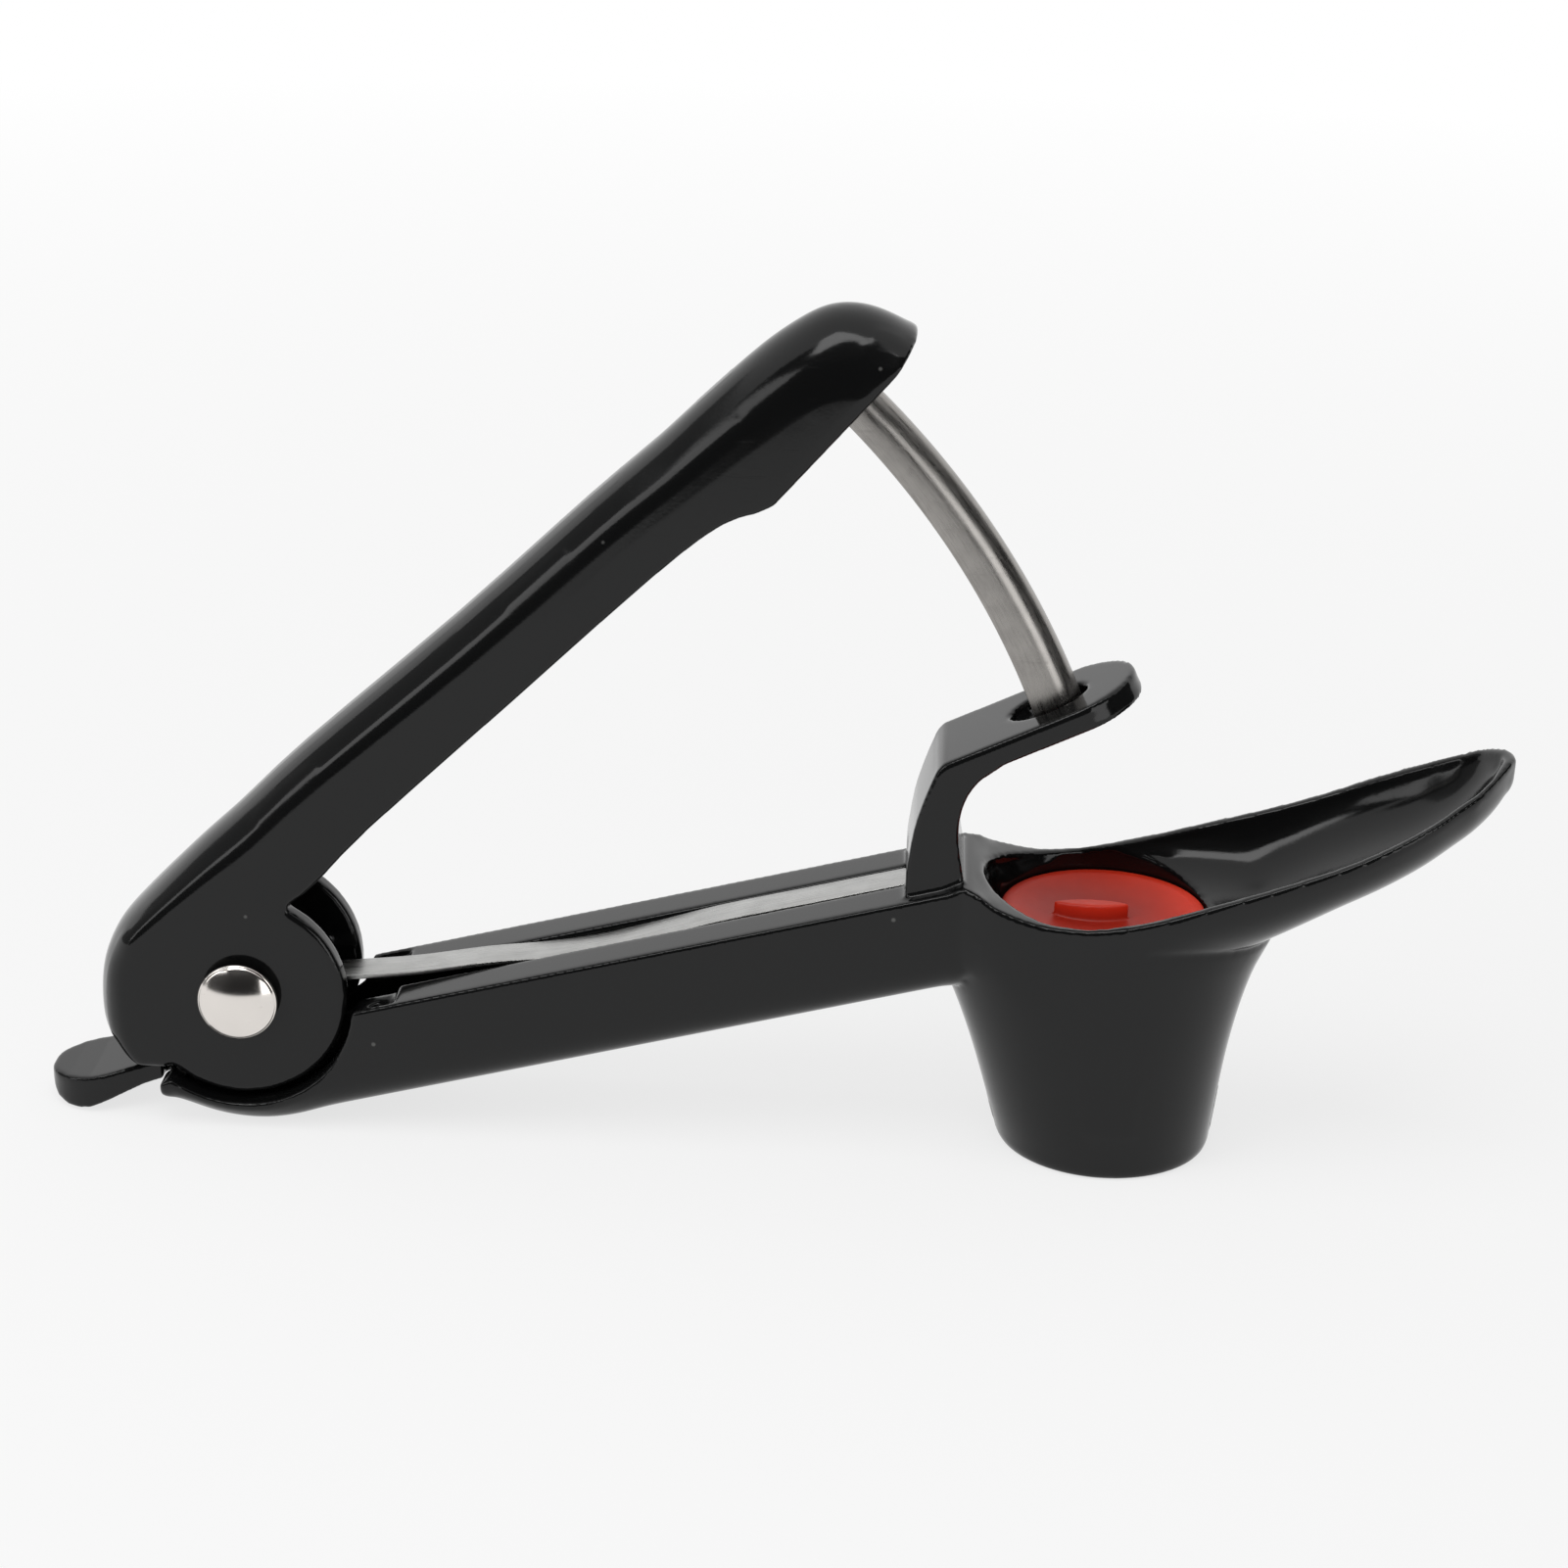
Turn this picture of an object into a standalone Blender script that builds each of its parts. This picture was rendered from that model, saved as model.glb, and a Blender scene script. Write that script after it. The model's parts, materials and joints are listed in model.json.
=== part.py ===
"""Hand cherry pitter with a hinged lever, a bent plunger and a pouring bowl.

Sizes are in millimetres. Outline points are given as (x, z) from the hinge
pivot: +X runs along the handle to the pouring tip, +Z is up, and the part is
symmetric about the plane Y = 0. The hinge and the drop tube stand on Z = 0.
"""

import math

import bmesh
import bpy
from mathutils import Matrix, Vector

MM = 0.001

# Overall placement
PIVOT_X = -62.6
PIVOT_HEIGHT = 16.9

# Clearances
FIT_GAP = 0.3
CRADLE_GAP = 0.9
STOP_GAP_DEG = 0.2
EAR_RELIEF = 0.15

# Widths across the hinge
BODY_WIDTH = 18.0
LEVER_WIDTH = 15.0
EAR_THICKNESS = 2.9
LUG_THICKNESS = 1.4
STRIP_WIDTH = 5.2

# Hinge
EAR_RADIUS = 12.8
LUG_BOSS_RADIUS = 5.6
RIVET_SHANK_RADIUS = 2.4
RIVET_HEAD_RADIUS = 4.8
RIVET_HEAD_HEIGHT = 3.0
RIVET_HEAD_RIM = 2.4
RIVET_COLLAR_RADIUS = 3.6
RIVET_TAIL_RADIUS = 4.2
RIVET_TAIL_HEIGHT = 1.1
CLOSE_ANGLE = 23.4

# Handle bar
HANDLE_RISE = 18.98
HANDLE_DEPTH = 12.75
LEDGE_START = (13.7, -0.9)
HANDLE_EDGE_RADIUS = 4.0
HINGE_BOTTOM_RADIUS = 20.0
HINGE_BOTTOM_X = 1.5
REAR_LIP = (-9.9, -11.5)
HANDLE_END_BACK = 16.6
CHANNEL_DEPTH = 9.0
CHANNEL_END_BACK = 23.6
SHELL_FLOOR = 2.0

# Ledge details
LEDGE_HOLE_RADIUS = 1.05
LEDGE_HOLE_DEPTH = 4.0
LEDGE_HOLE_AT = (16.4, 6.35)
LEDGE_POCKET_END_X = 18.6
LEDGE_POCKET_DEPTH = 0.8
LEDGE_RIM = 1.0

# Arm and guide plate
ARM_WIDTH = 15.0
ARM_CORNER_INSET = 14.27
ARM_CORNER_DEG = 21.75
PLATE_ANGLE_DEG = 25.6
PLATE_THICKNESS = 2.9
PLATE_LENGTH = 24.6
GUIDE_HOLE_LENGTH = 9.6
GUIDE_HOLE_WIDTH = 7.0
GUIDE_HOLE_INSET = 0.4

# Plunger
PLUNGER_RADIUS = 103.2
PLUNGER_LEG_INSET = 2.4
PLUNGER_ROOT_DEPTH = 4.9
PLUNGER_TIP_DEPTH = 5.9
PLUNGER_WIDTH = 5.6
PLUNGER_SHEET = 0.8
PLUNGER_TIP_DEG = 21.4
PLUNGER_ROOT_DEG = 50.2
PLUNGER_PIN_RADIUS = 1.0
PLUNGER_PIN_DEG = 48.4
NOSE_DEG = 49.0
PLUNGER_PIN_LENGTH = 10.4

# Seat
SEAT_INSET = 0.2
SEAT_RADIUS = 12.3
SEAT_BOTTOM = 9.5
SEAT_RIM_TOP = 13.1
SEAT_DISH_TOP = 12.5
SEAT_SKIN = 1.3
SEAT_OPENING_LENGTH = 11.0
SEAT_OPENING_WIDTH = 8.0
SLIT_LIP_LENGTH = 8.7
SLIT_LIP_WIDTH = 3.0
SLIT_LIP_TOP = 13.8

# Bowl and drop tube
BOWL_FLOOR = 13.0
BOWL_WALL = 1.4
SPOUT_FLOOR_THICKNESS = 1.8
TUBE_FOOT_AHEAD = 1.5
TUBE_FOOT_RADIUS = 12.9
TUBE_WALL = 1.8
TUBE_TOP = 13.4

# Leaf springs
STRIP_THICKNESS = 0.5
STRIP_DROP = 0.35
STRIP_SLOT_BACK = 18.4
STRIP_TIP_X = 5.6
HELPER_STRIP_END_X = 31.0
PRESS_BAR_RADIUS = 1.1
PRESS_BAR_REACH = 8.0

# Lock latch
LATCH_PIVOT = (-7.6, -10.6)
LATCH_HUB_RADIUS = 2.0
LATCH_PIN_RADIUS = 0.9
LATCH_NECK_WIDTH = 8.8
LATCH_HEAD_WIDTH = 12.6
LATCH_END_X = -24.8
CATCH_BAR_RADIUS = 0.85
CATCH_BAR_REACH = 9.25
CATCH_BAR_DEG = 277.0

# Resolution
ROUND_STEPS = 64
ARC_STEPS = 12
LEVER_STATIONS = 55

# Values that follow from the sizes above
PLUNGER_INNER_RADIUS = PLUNGER_RADIUS - PLUNGER_LEG_INSET
GUIDE_HOLE_SWING = PLUNGER_RADIUS - GUIDE_HOLE_INSET
SEAT_CENTRE_X = PLUNGER_RADIUS - SEAT_INSET
TUBE_FOOT_X = SEAT_CENTRE_X + TUBE_FOOT_AHEAD
HANDLE_END_X = SEAT_CENTRE_X - HANDLE_END_BACK
CHANNEL_END_X = SEAT_CENTRE_X - CHANNEL_END_BACK
STRIP_SLOT_END_X = SEAT_CENTRE_X - STRIP_SLOT_BACK
SLOPE = HANDLE_RISE / (HANDLE_END_X - LEDGE_START[0])
HANDLE_SLOPE = math.atan(SLOPE)
CHANNEL_WIDTH = STRIP_WIDTH + 2 * FIT_GAP
EAR_GAP = LEVER_WIDTH - 2 * EAR_THICKNESS
LUG_WIDTH = CHANNEL_WIDTH + 2 * LUG_THICKNESS
CRADLE_RADIUS = EAR_RADIUS + CRADLE_GAP
SEAT_RECESS_RADIUS = SEAT_RADIUS + FIT_GAP
BOWL_HALF_WIDTH = SEAT_RECESS_RADIUS + BOWL_WALL
MOUTH_REACH = SEAT_RECESS_RADIUS + 1.9
BORE_TOP_RADIUS = SEAT_RADIUS - 1.0
SLIT_CENTRE_X = math.sqrt(PLUNGER_RADIUS ** 2 - SEAT_RIM_TOP ** 2) - 0.8
OVERCUT = 20.0


def ledge_z(x):
    """Height of the handle's top ledges at x."""
    return LEDGE_START[1] + SLOPE * (x - LEDGE_START[0])


def bottom_z(x):
    """Height of the handle's underside: an arc under the hinge, then a slope."""
    straight = ledge_z(x) - HANDLE_DEPTH / math.cos(HANDLE_SLOPE)
    centre_z = HINGE_BOTTOM_RADIUS - PIVOT_HEIGHT
    offset = x - HINGE_BOTTOM_X
    if abs(offset) >= HINGE_BOTTOM_RADIUS:
        return straight
    arc = centre_z - math.sqrt(HINGE_BOTTOM_RADIUS ** 2 - offset ** 2)
    return min(straight, arc) if x > HINGE_BOTTOM_X else arc


def polar(radius, degrees, centre=(0.0, 0.0)):
    angle = math.radians(degrees)
    return (centre[0] + radius * math.cos(angle), centre[1] + radius * math.sin(angle))


def arc(radius, start, end, steps, centre=(0.0, 0.0)):
    return [polar(radius, start + (end - start) * i / steps, centre) for i in range(steps + 1)]


def smooth_value(points, t):
    """Catmull-Rom curve through tuples, with t counted in points."""
    last = len(points) - 1
    index = min(int(t), last - 1)
    u = t - index
    p0 = points[max(index - 1, 0)]
    p1 = points[index]
    p2 = points[index + 1]
    p3 = points[min(index + 2, last)]
    result = []
    for a, b, c, d in zip(p0, p1, p2, p3):
        value = 2 * b + (c - a) * u + (2 * a - 5 * b + 4 * c - d) * u ** 2
        value += (3 * b - a - 3 * c + d) * u ** 3
        result.append(value / 2)
    return tuple(result)


def smooth_points(points, count):
    last = len(points) - 1
    return [smooth_value(points, last * i / (count - 1)) for i in range(count)]


def clear_scene():
    for obj in list(bpy.data.objects):
        bpy.data.objects.remove(obj, do_unlink=True)
    for collection in list(bpy.data.collections):
        bpy.data.collections.remove(collection)


def make_collection(name):
    collection = bpy.data.collections.new(name)
    bpy.context.scene.collection.children.link(collection)
    return collection


def make_material(name, colour, roughness, metallic=0.0):
    material = bpy.data.materials.new(name)
    material.use_nodes = True
    shader = material.node_tree.nodes["Principled BSDF"]
    shader.inputs["Base Color"].default_value = (*colour, 1.0)
    shader.inputs["Roughness"].default_value = roughness
    shader.inputs["Metallic"].default_value = metallic
    return material


def place(mesh, name, collection, origin=(0.0, 0.0)):
    """Make an object at a pivot-frame origin from a mesh in millimetres about the pivot."""
    shift = Matrix.Translation((-origin[0], 0.0, -origin[1]))
    mesh.transform(Matrix.Scale(MM, 4) @ shift)
    obj = bpy.data.objects.new(name, mesh)
    obj.location = Vector((PIVOT_X + origin[0], 0.0, PIVOT_HEIGHT + origin[1])) * MM
    collection.objects.link(obj)
    return obj


def close_mesh(mesh):
    work = bmesh.new()
    work.from_mesh(mesh)
    bmesh.ops.remove_doubles(work, verts=work.verts, dist=0.00001)
    bmesh.ops.recalc_face_normals(work, faces=work.faces)
    work.to_mesh(mesh)
    work.free()
    return mesh


def outline_mesh(name, points, thickness):
    """Fill a flat outline and thicken it evenly about its own plane."""
    curve = bpy.data.curves.new(name, "CURVE")
    curve.dimensions = "2D"
    curve.fill_mode = "BOTH"
    curve.extrude = thickness / 2
    line = curve.splines.new("POLY")
    line.points.add(len(points) - 1)
    for point, (x, y) in zip(line.points, points):
        point.co = (x, y, 0.0, 1.0)
    line.use_cyclic_u = True
    guide = bpy.data.objects.new(name + "_outline", curve)
    bpy.context.scene.collection.objects.link(guide)
    bpy.context.view_layer.update()
    graph = bpy.context.evaluated_depsgraph_get()
    mesh = bpy.data.meshes.new_from_object(guide.evaluated_get(graph))
    bpy.data.objects.remove(guide, do_unlink=True)
    return close_mesh(mesh)


def side_plate(name, points, collection, width, y=0.0, origin=(0.0, 0.0)):
    """Extrude an (x, z) outline across the part."""
    mesh = outline_mesh(name, points, width)
    mesh.transform(Matrix.Translation((0.0, y, 0.0)) @ Matrix.Rotation(math.pi / 2, 4, "X"))
    return place(mesh, name, collection, origin)


def cross_cylinder(name, radius, centre, length, collection, y=0.0, origin=(0.0, 0.0)):
    """Cylinder along Y, centred on an (x, z) point."""
    work = bmesh.new()
    turn = Matrix.Rotation(math.pi / 2, 4, "X")
    shift = Matrix.Translation((centre[0], y, centre[1]))
    bmesh.ops.create_cone(
        work, cap_ends=True, segments=ROUND_STEPS, radius1=radius, radius2=radius,
        depth=length, matrix=shift @ turn,
    )
    mesh = bpy.data.meshes.new(name)
    work.to_mesh(mesh)
    work.free()
    return place(mesh, name, collection, origin)


def loft(name, rings, collection, origin=(0.0, 0.0)):
    """Skin a row of equal point rings and close both ends."""
    work = bmesh.new()
    layers = [[work.verts.new(point) for point in ring] for ring in rings]
    count = len(rings[0])
    for first, second in zip(layers, layers[1:]):
        for i in range(count):
            j = (i + 1) % count
            work.faces.new((first[i], first[j], second[j], second[i]))
    work.faces.new(layers[0][::-1])
    work.faces.new(layers[-1])
    bmesh.ops.recalc_face_normals(work, faces=work.faces)
    mesh = bpy.data.meshes.new(name)
    work.to_mesh(mesh)
    work.free()
    return place(mesh, name, collection, origin)


def turned(name, profile, collection, centre, across=False, origin=(0.0, 0.0)):
    """Turn a (radius, height) profile about Z at x = centre[0], or about Y."""
    mesh = bpy.data.meshes.new(name)
    edges = [(i, i + 1) for i in range(len(profile) - 1)]
    mesh.from_pydata([(r, 0.0, h) for r, h in profile], edges, [])
    obj = place(mesh, name, collection)
    obj.location = Vector((PIVOT_X + centre[0], 0.0, PIVOT_HEIGHT + centre[1])) * MM
    screw = obj.modifiers.new("Turn", "SCREW")
    screw.steps = ROUND_STEPS
    screw.render_steps = ROUND_STEPS
    screw.use_merge_vertices = True
    screw.merge_threshold = 0.00001
    if across:
        obj.rotation_euler = (math.pi / 2, 0.0, 0.0)
    return obj


def baked(obj):
    """Replace an object's modifiers and turn by their result."""
    bpy.context.view_layer.update()
    graph = bpy.context.evaluated_depsgraph_get()
    mesh = bpy.data.meshes.new_from_object(obj.evaluated_get(graph))
    mesh.transform(Matrix.Rotation(obj.rotation_euler.x, 4, "X"))
    obj.modifiers.clear()
    obj.rotation_euler = (0.0, 0.0, 0.0)
    obj.data = close_mesh(mesh)
    return obj


def combine(obj, other, operation, solver="EXACT"):
    step = obj.modifiers.new(operation.title() + " " + other.name, "BOOLEAN")
    step.operation = operation
    step.solver = solver
    step.object = other


def hide_tool(obj):
    obj.hide_render = True
    obj.display_type = "WIRE"


def finish(obj, material, smooth_angle=None):
    obj.data.materials.clear()
    obj.data.materials.append(material)
    if smooth_angle is not None:
        obj.data.shade_smooth()
        obj.data.set_sharp_from_angle(angle=math.radians(smooth_angle))


def bar_ring(x, top, bottom, half_width, edge_radius):
    """Section of the handle: square on top, rounded below."""
    radius = min(edge_radius, 0.8 * (top - bottom))
    ring = [(x, -half_width, top)]
    for i in range(7):
        angle = math.radians(90.0 * i / 6)
        y = half_width - radius + radius * math.cos(angle)
        z = bottom + radius - radius * math.sin(angle)
        ring.append((x, -y, z))
    for i in range(7):
        angle = math.radians(90.0 * (6 - i) / 6)
        y = half_width - radius + radius * math.cos(angle)
        z = bottom + radius - radius * math.sin(angle)
        ring.append((x, y, z))
    ring.append((x, half_width, top))
    return ring


def handle_bar(tools):
    """Handle from the rear lip to the bowl, before its recesses."""
    rings = []
    stations = [REAR_LIP[0] + 1.6 * i for i in range(15)]
    stations = [x for x in stations if x < LEDGE_START[0] - 0.5]
    stations += [LEDGE_START[0], 20.0, 40.0, 60.0, HANDLE_END_X]
    for x in stations:
        share = (x - REAR_LIP[0]) / (LEDGE_START[0] - REAR_LIP[0])
        lip = REAR_LIP[1] + (LEDGE_START[1] - REAR_LIP[1]) * share
        top = ledge_z(x) if x >= LEDGE_START[0] else lip
        rings.append(bar_ring(x, top, bottom_z(x), BODY_WIDTH / 2, HANDLE_EDGE_RADIUS))
    return loft("lower_body", rings, tools)


# Bowl stations: x from the seat's centre, half width against the widest, rim height,
# underside height
BOWL_STATIONS = [
    (-22.5, 0.54, 16.4, 4.2),
    (-20.0, 0.55, 17.0, 4.9),
    (-16.8, 0.67, 18.5, 5.8),
    (-13.0, 0.81, 16.8, 6.6),
    (-8.0, 0.89, 15.5, 7.2),
    (-3.0, 0.955, 15.4, 7.7),
    (2.0, 1.0, 16.2, 8.1),
    (7.0, 1.0, 17.5, 8.5),
    (12.0, 0.975, 19.1, 8.9),
    (17.0, 0.95, 20.7, 10.4),
    (22.0, 0.92, 22.4, 13.0),
    (27.0, 0.895, 24.3, 15.9),
    (32.0, 0.845, 26.6, 18.5),
    (37.0, 0.725, 29.1, 21.4),
    (42.0, 0.535, 31.8, 24.8),
    (43.7, 0.42, 33.0, 26.3),
    (45.2, 0.29, 34.0, 27.8),
    (46.4, 0.16, 34.5, 29.5),
    (47.0, 0.06, 34.3, 30.9),
]


# Where the cavity ends inside the pouring tip, from the seat's centre
TIP_CAVITY_END = 45.5


def bowl_station(x):
    """Half width, rim and underside at x, on a smooth curve through the stations."""
    places = [SEAT_CENTRE_X + row[0] for row in BOWL_STATIONS]
    index = 0
    while index < len(places) - 2 and x > places[index + 1]:
        index += 1
    t = index + (x - places[index]) / (places[index + 1] - places[index])
    return smooth_value([row[1:] for row in BOWL_STATIONS], max(0.0, t))


def bowl_ring(x, half_width, top, bottom, power, cap=0.0):
    """Superellipse trough section, closed straight across its top."""
    ring = []
    if cap > 0:
        ring.append((x, half_width, top + cap))
        ring.append((x, -half_width, top + cap))
    steps = 2 * ARC_STEPS
    for i in range(steps + 1):
        angle = math.pi * i / steps
        c = math.cos(angle)
        s = math.sin(angle)
        y = -half_width * math.copysign(abs(c) ** (2 / power), c)
        z = top - (top - bottom) * abs(s) ** (2 / power)
        ring.append((x, y, z))
    return ring


def section_power(x):
    """Square sections beside the handle, round ones along the spout."""
    share = min(max((x - SEAT_CENTRE_X + 13.0) / 30.0, 0.0), 1.0)
    return 6.0 - 3.8 * math.sin(share * math.pi / 2)


def bowl_hull(tools):
    rings = []
    first = SEAT_CENTRE_X + BOWL_STATIONS[0][0]
    last = SEAT_CENTRE_X + BOWL_STATIONS[-1][0]
    for i in range(51):
        x = last - (last - first) * (1.0 - i / 50) ** 1.35
        share, top, bottom = bowl_station(x)
        rings.append(bowl_ring(x, share * BOWL_HALF_WIDTH, top, bottom, section_power(x)))
    return loft("bowl_hull", rings, tools)


def bowl_cavity(tools):
    """Inside of the bowl: an oval mouth down to the seat, then up the spout."""
    rings = []
    start = SEAT_CENTRE_X - MOUTH_REACH + 0.05
    end = SEAT_CENTRE_X + TIP_CAVITY_END
    for i in range(53):
        x = start + (end - start) * (i / 52) ** 1.6
        share, top, bottom = bowl_station(x)
        half_width = share * BOWL_HALF_WIDTH - BOWL_WALL
        if x < SEAT_CENTRE_X:
            back = (SEAT_CENTRE_X - x) / MOUTH_REACH
            half_width = min(half_width, SEAT_RECESS_RADIUS * math.sqrt(1.0 - back * back))
        fall = min(max((x - start) / 2.6, 0.0), 1.0)
        entry = top - 0.3 - (top - 0.3 - BOWL_FLOOR) * fall * fall * (3.0 - 2.0 * fall)
        spout = bottom + SPOUT_FLOOR_THICKNESS
        floor = max(entry, spout, BOWL_FLOOR)
        rise = min(max((x - end + 8.0) / 8.2, 0.0), 1.0)
        floor = top - (top - floor) * math.sqrt(1.0 - rise * rise)
        floor = min(floor, top - 0.5)
        turn = min(max((x - end + 1.6) / 1.7, 0.0), 1.0)
        half_width *= math.sqrt(1.0 - turn * turn)
        power = max(section_power(x) - 1.5, 2.2)
        rings.append(bowl_ring(x, max(half_width, 0.6), top, floor, power, cap=4.0))
    return loft("bowl_cavity", rings, tools)


# Drop tube stations: height, half length along X, half width along Y, centre shift
TUBE_STATIONS = [
    (-16.9, 0.0, 0.0),
    (-12.0, 1.0, 0.25),
    (-5.0, 2.5, 0.5),
    (0.0, 3.85, 0.65),
    (4.0, 5.15, 0.8),
    (8.0, 6.8, 0.95),
    (10.6, 8.4, 1.1),
    (TUBE_TOP, 8.6, 1.1),
]
# From this height up the tube's sides stay this far inside the bowl's
TUBE_FLUSH_FROM = 7.0
TUBE_FLUSH_INSET = 0.1
TUBE_LEAN = 0.09


def tube_centre(z):
    return TUBE_FOOT_X - TUBE_LEAN * (z + PIVOT_HEIGHT)


def ellipse_ring(centre, radius_x, radius_y, z):
    ring = []
    for i in range(ROUND_STEPS):
        angle = 2 * math.pi * i / ROUND_STEPS
        ring.append((centre + radius_x * math.cos(angle), radius_y * math.sin(angle), z))
    return ring


def drop_tube(tools):
    """Outer skin of the tube, with a rounded foot."""
    edge = 0.7
    rings = []
    for degrees in (0.0, 30.0, 60.0):
        angle = math.radians(degrees)
        radius = TUBE_FOOT_RADIUS - edge + edge * math.sin(angle)
        z = -PIVOT_HEIGHT + edge - edge * math.cos(angle)
        rings.append(ellipse_ring(tube_centre(z), radius, radius, z))
    for z, grow_x, grow_y in smooth_points(TUBE_STATIONS, 20):
        z = max(z, -PIVOT_HEIGHT + edge)
        centre = tube_centre(z)
        ring = ellipse_ring(centre, TUBE_FOOT_RADIUS + grow_x, TUBE_FOOT_RADIUS + grow_y, z)
        if z > TUBE_FLUSH_FROM:
            flush = [bowl_station(x)[0] * BOWL_HALF_WIDTH - TUBE_FLUSH_INSET for x, _, _ in ring]
            ring = [(x, max(-side, min(side, y)), z) for (x, y, z), side in zip(ring, flush)]
        rings.append(ring)
    return loft("drop_tube", rings, tools)


def tube_bore(tools):
    low = -PIVOT_HEIGHT - 1.0
    high = SEAT_BOTTOM
    foot = TUBE_FOOT_RADIUS - TUBE_WALL
    rings = [
        ellipse_ring(tube_centre(low), foot, foot, low),
        ellipse_ring(SEAT_CENTRE_X, BORE_TOP_RADIUS, BORE_TOP_RADIUS, high),
    ]
    return loft("tube_bore", rings, tools)


def plate_point(along, above=0.0):
    """A point of the guide plate: along it from the arm's corner, above its top face."""
    angle = math.radians(PLATE_ANGLE_DEG)
    corner = polar(PLUNGER_RADIUS - ARM_CORNER_INSET, ARM_CORNER_DEG)
    x = corner[0] + along * math.cos(angle) - above * math.sin(angle)
    z = corner[1] + along * math.sin(angle) + above * math.cos(angle)
    return (x, z)


def plate_hole_place():
    """Distance along the plate at which the guide hole's swing radius crosses it."""
    low = 0.0
    high = PLATE_LENGTH
    for _ in range(40):
        middle = (low + high) / 2
        x, z = plate_point(middle, -PLATE_THICKNESS / 2)
        if math.hypot(x, z) < GUIDE_HOLE_SWING:
            low = middle
        else:
            high = middle
    return low


def arm(tools):
    """Arm and guide plate as one side outline."""
    foot = SEAT_CENTRE_X
    bend = plate_point(0.0)
    back = smooth_points([(foot - 23.8, 19.4), (foot - 23.1, 24.6), (bend[0] - 1.6, bend[1] - 4.35),
                          (bend[0] - 0.3, bend[1] - 0.75)], 10)
    inner = smooth_points([(bend[0] + 6.7, bend[1] - 0.35), (bend[0] + 4.6, bend[1] - 1.95),
                           (bend[0] + 3.2, bend[1] - 4.35), (bend[0] + 2.6, bend[1] - 7.15),
                           (foot - 17.7, 22.6), (foot - 17.1, 19.2)], 14)
    inner[0] = plate_point(7.0, -PLATE_THICKNESS)
    outline = [(foot - 23.8, 12.5), *back, plate_point(0.5), plate_point(PLATE_LENGTH),
               plate_point(PLATE_LENGTH, -PLATE_THICKNESS), *inner, (foot - 17.0, 12.5)]
    return side_plate("arm", outline, tools, ARM_WIDTH)


def plate_frame(along, above):
    """Matrix that lays an outline's plane on the guide plate's top face."""
    x, z = plate_point(along, above)
    turn = Matrix.Rotation(-math.radians(PLATE_ANGLE_DEG), 4, "Y")
    return Matrix.Translation((x, 0.0, z)) @ turn


def plate_end_cut(tools):
    """What is trimmed off the plate to leave its end half round."""
    radius = ARM_WIDTH / 2
    outline = [(0.2, radius + 3.0), (0.2, radius)]
    for i in range(1, 24):
        angle = math.radians(90.0 - 180.0 * i / 24)
        outline.append((radius * math.cos(angle), radius * math.sin(angle)))
    outline += [(0.2, -radius), (0.2, -radius - 3.0), (radius + 3.0, -radius - 3.0),
                (radius + 3.0, radius + 3.0)]
    mesh = outline_mesh("plate_end_cut", outline, 4 * PLATE_THICKNESS)
    mesh.transform(plate_frame(PLATE_LENGTH - radius, -PLATE_THICKNESS / 2))
    return place(mesh, "plate_end_cut", tools)


def guide_hole(tools):
    outline = []
    for i in range(36):
        angle = 2 * math.pi * i / 36
        outline.append((GUIDE_HOLE_LENGTH / 2 * math.cos(angle),
                        GUIDE_HOLE_WIDTH / 2 * math.sin(angle)))
    mesh = outline_mesh("guide_hole", outline, 4 * PLATE_THICKNESS)
    mesh.transform(plate_frame(plate_hole_place(), -PLATE_THICKNESS / 2))
    return place(mesh, "guide_hole", tools)


def lug_block(tools):
    """Boss about the pivot with a web down to the shell, outside both bars' paths."""
    outline = arc(LUG_BOSS_RADIUS, -34.0, 283.0, 36)
    outline += [(2.6, -10.5), (2.6, -14.6), (9.0, -14.2), (16.0, -8.0), (16.0, -3.5),
                (LEDGE_START[0] - 0.6, LEDGE_START[1] - 1.6), (10.6, -4.4)]
    return side_plate("lug_block", outline, tools, LUG_WIDTH)


def latch_lug(tools):
    outline = arc(LATCH_HUB_RADIUS, -20.0, 190.0, 18, LATCH_PIVOT)
    outline += [(-8.7, -13.6), (-4.6, -14.9)]
    return side_plate("latch_lug", outline, tools, LUG_WIDTH)


def channel_cut(tools):
    """Groove between the ledges, carried on between the lugs to the rear."""
    floor = []
    for x in (-6.4, -4.0, -1.0, 2.0, 5.0, 8.0):
        floor.append((x, bottom_z(x) + SHELL_FLOOR))
    floor += [(LEDGE_START[0] + 2.0, ledge_z(LEDGE_START[0] + 2.0) - CHANNEL_DEPTH),
              (CHANNEL_END_X, ledge_z(CHANNEL_END_X) - CHANNEL_DEPTH)]
    outline = [(REAR_LIP[0] - 3.0, -13.4), *floor, (CHANNEL_END_X, ledge_z(CHANNEL_END_X) + 6.0),
               (LEDGE_START[0], LEDGE_START[1] + 12.0), (REAR_LIP[0] - 3.0, 12.0)]
    return side_plate("channel_cut", outline, tools, CHANNEL_WIDTH)


def rear_notch(tools):
    """Opening through the rear lip for the latch's neck."""
    outline = [(REAR_LIP[0] - 4.0, -17.0), (-9.0, -17.0), (-9.0, -9.0), (REAR_LIP[0] - 4.0, -9.0)]
    return side_plate("rear_notch", outline, tools, LATCH_NECK_WIDTH + 4 * FIT_GAP)


def strip_slot(tools):
    """Slot under the arm's foot that grips the two strips."""
    depth = STRIP_DROP + 2 * STRIP_THICKNESS + 2 * FIT_GAP
    outline = []
    for x, drop in ((CHANNEL_END_X - 2.0, -0.15), (STRIP_SLOT_END_X, -0.15),
                    (STRIP_SLOT_END_X, depth), (CHANNEL_END_X - 2.0, depth)):
        outline.append((x, ledge_z(x) - drop))
    return side_plate("strip_slot", outline, tools, CHANNEL_WIDTH)


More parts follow.
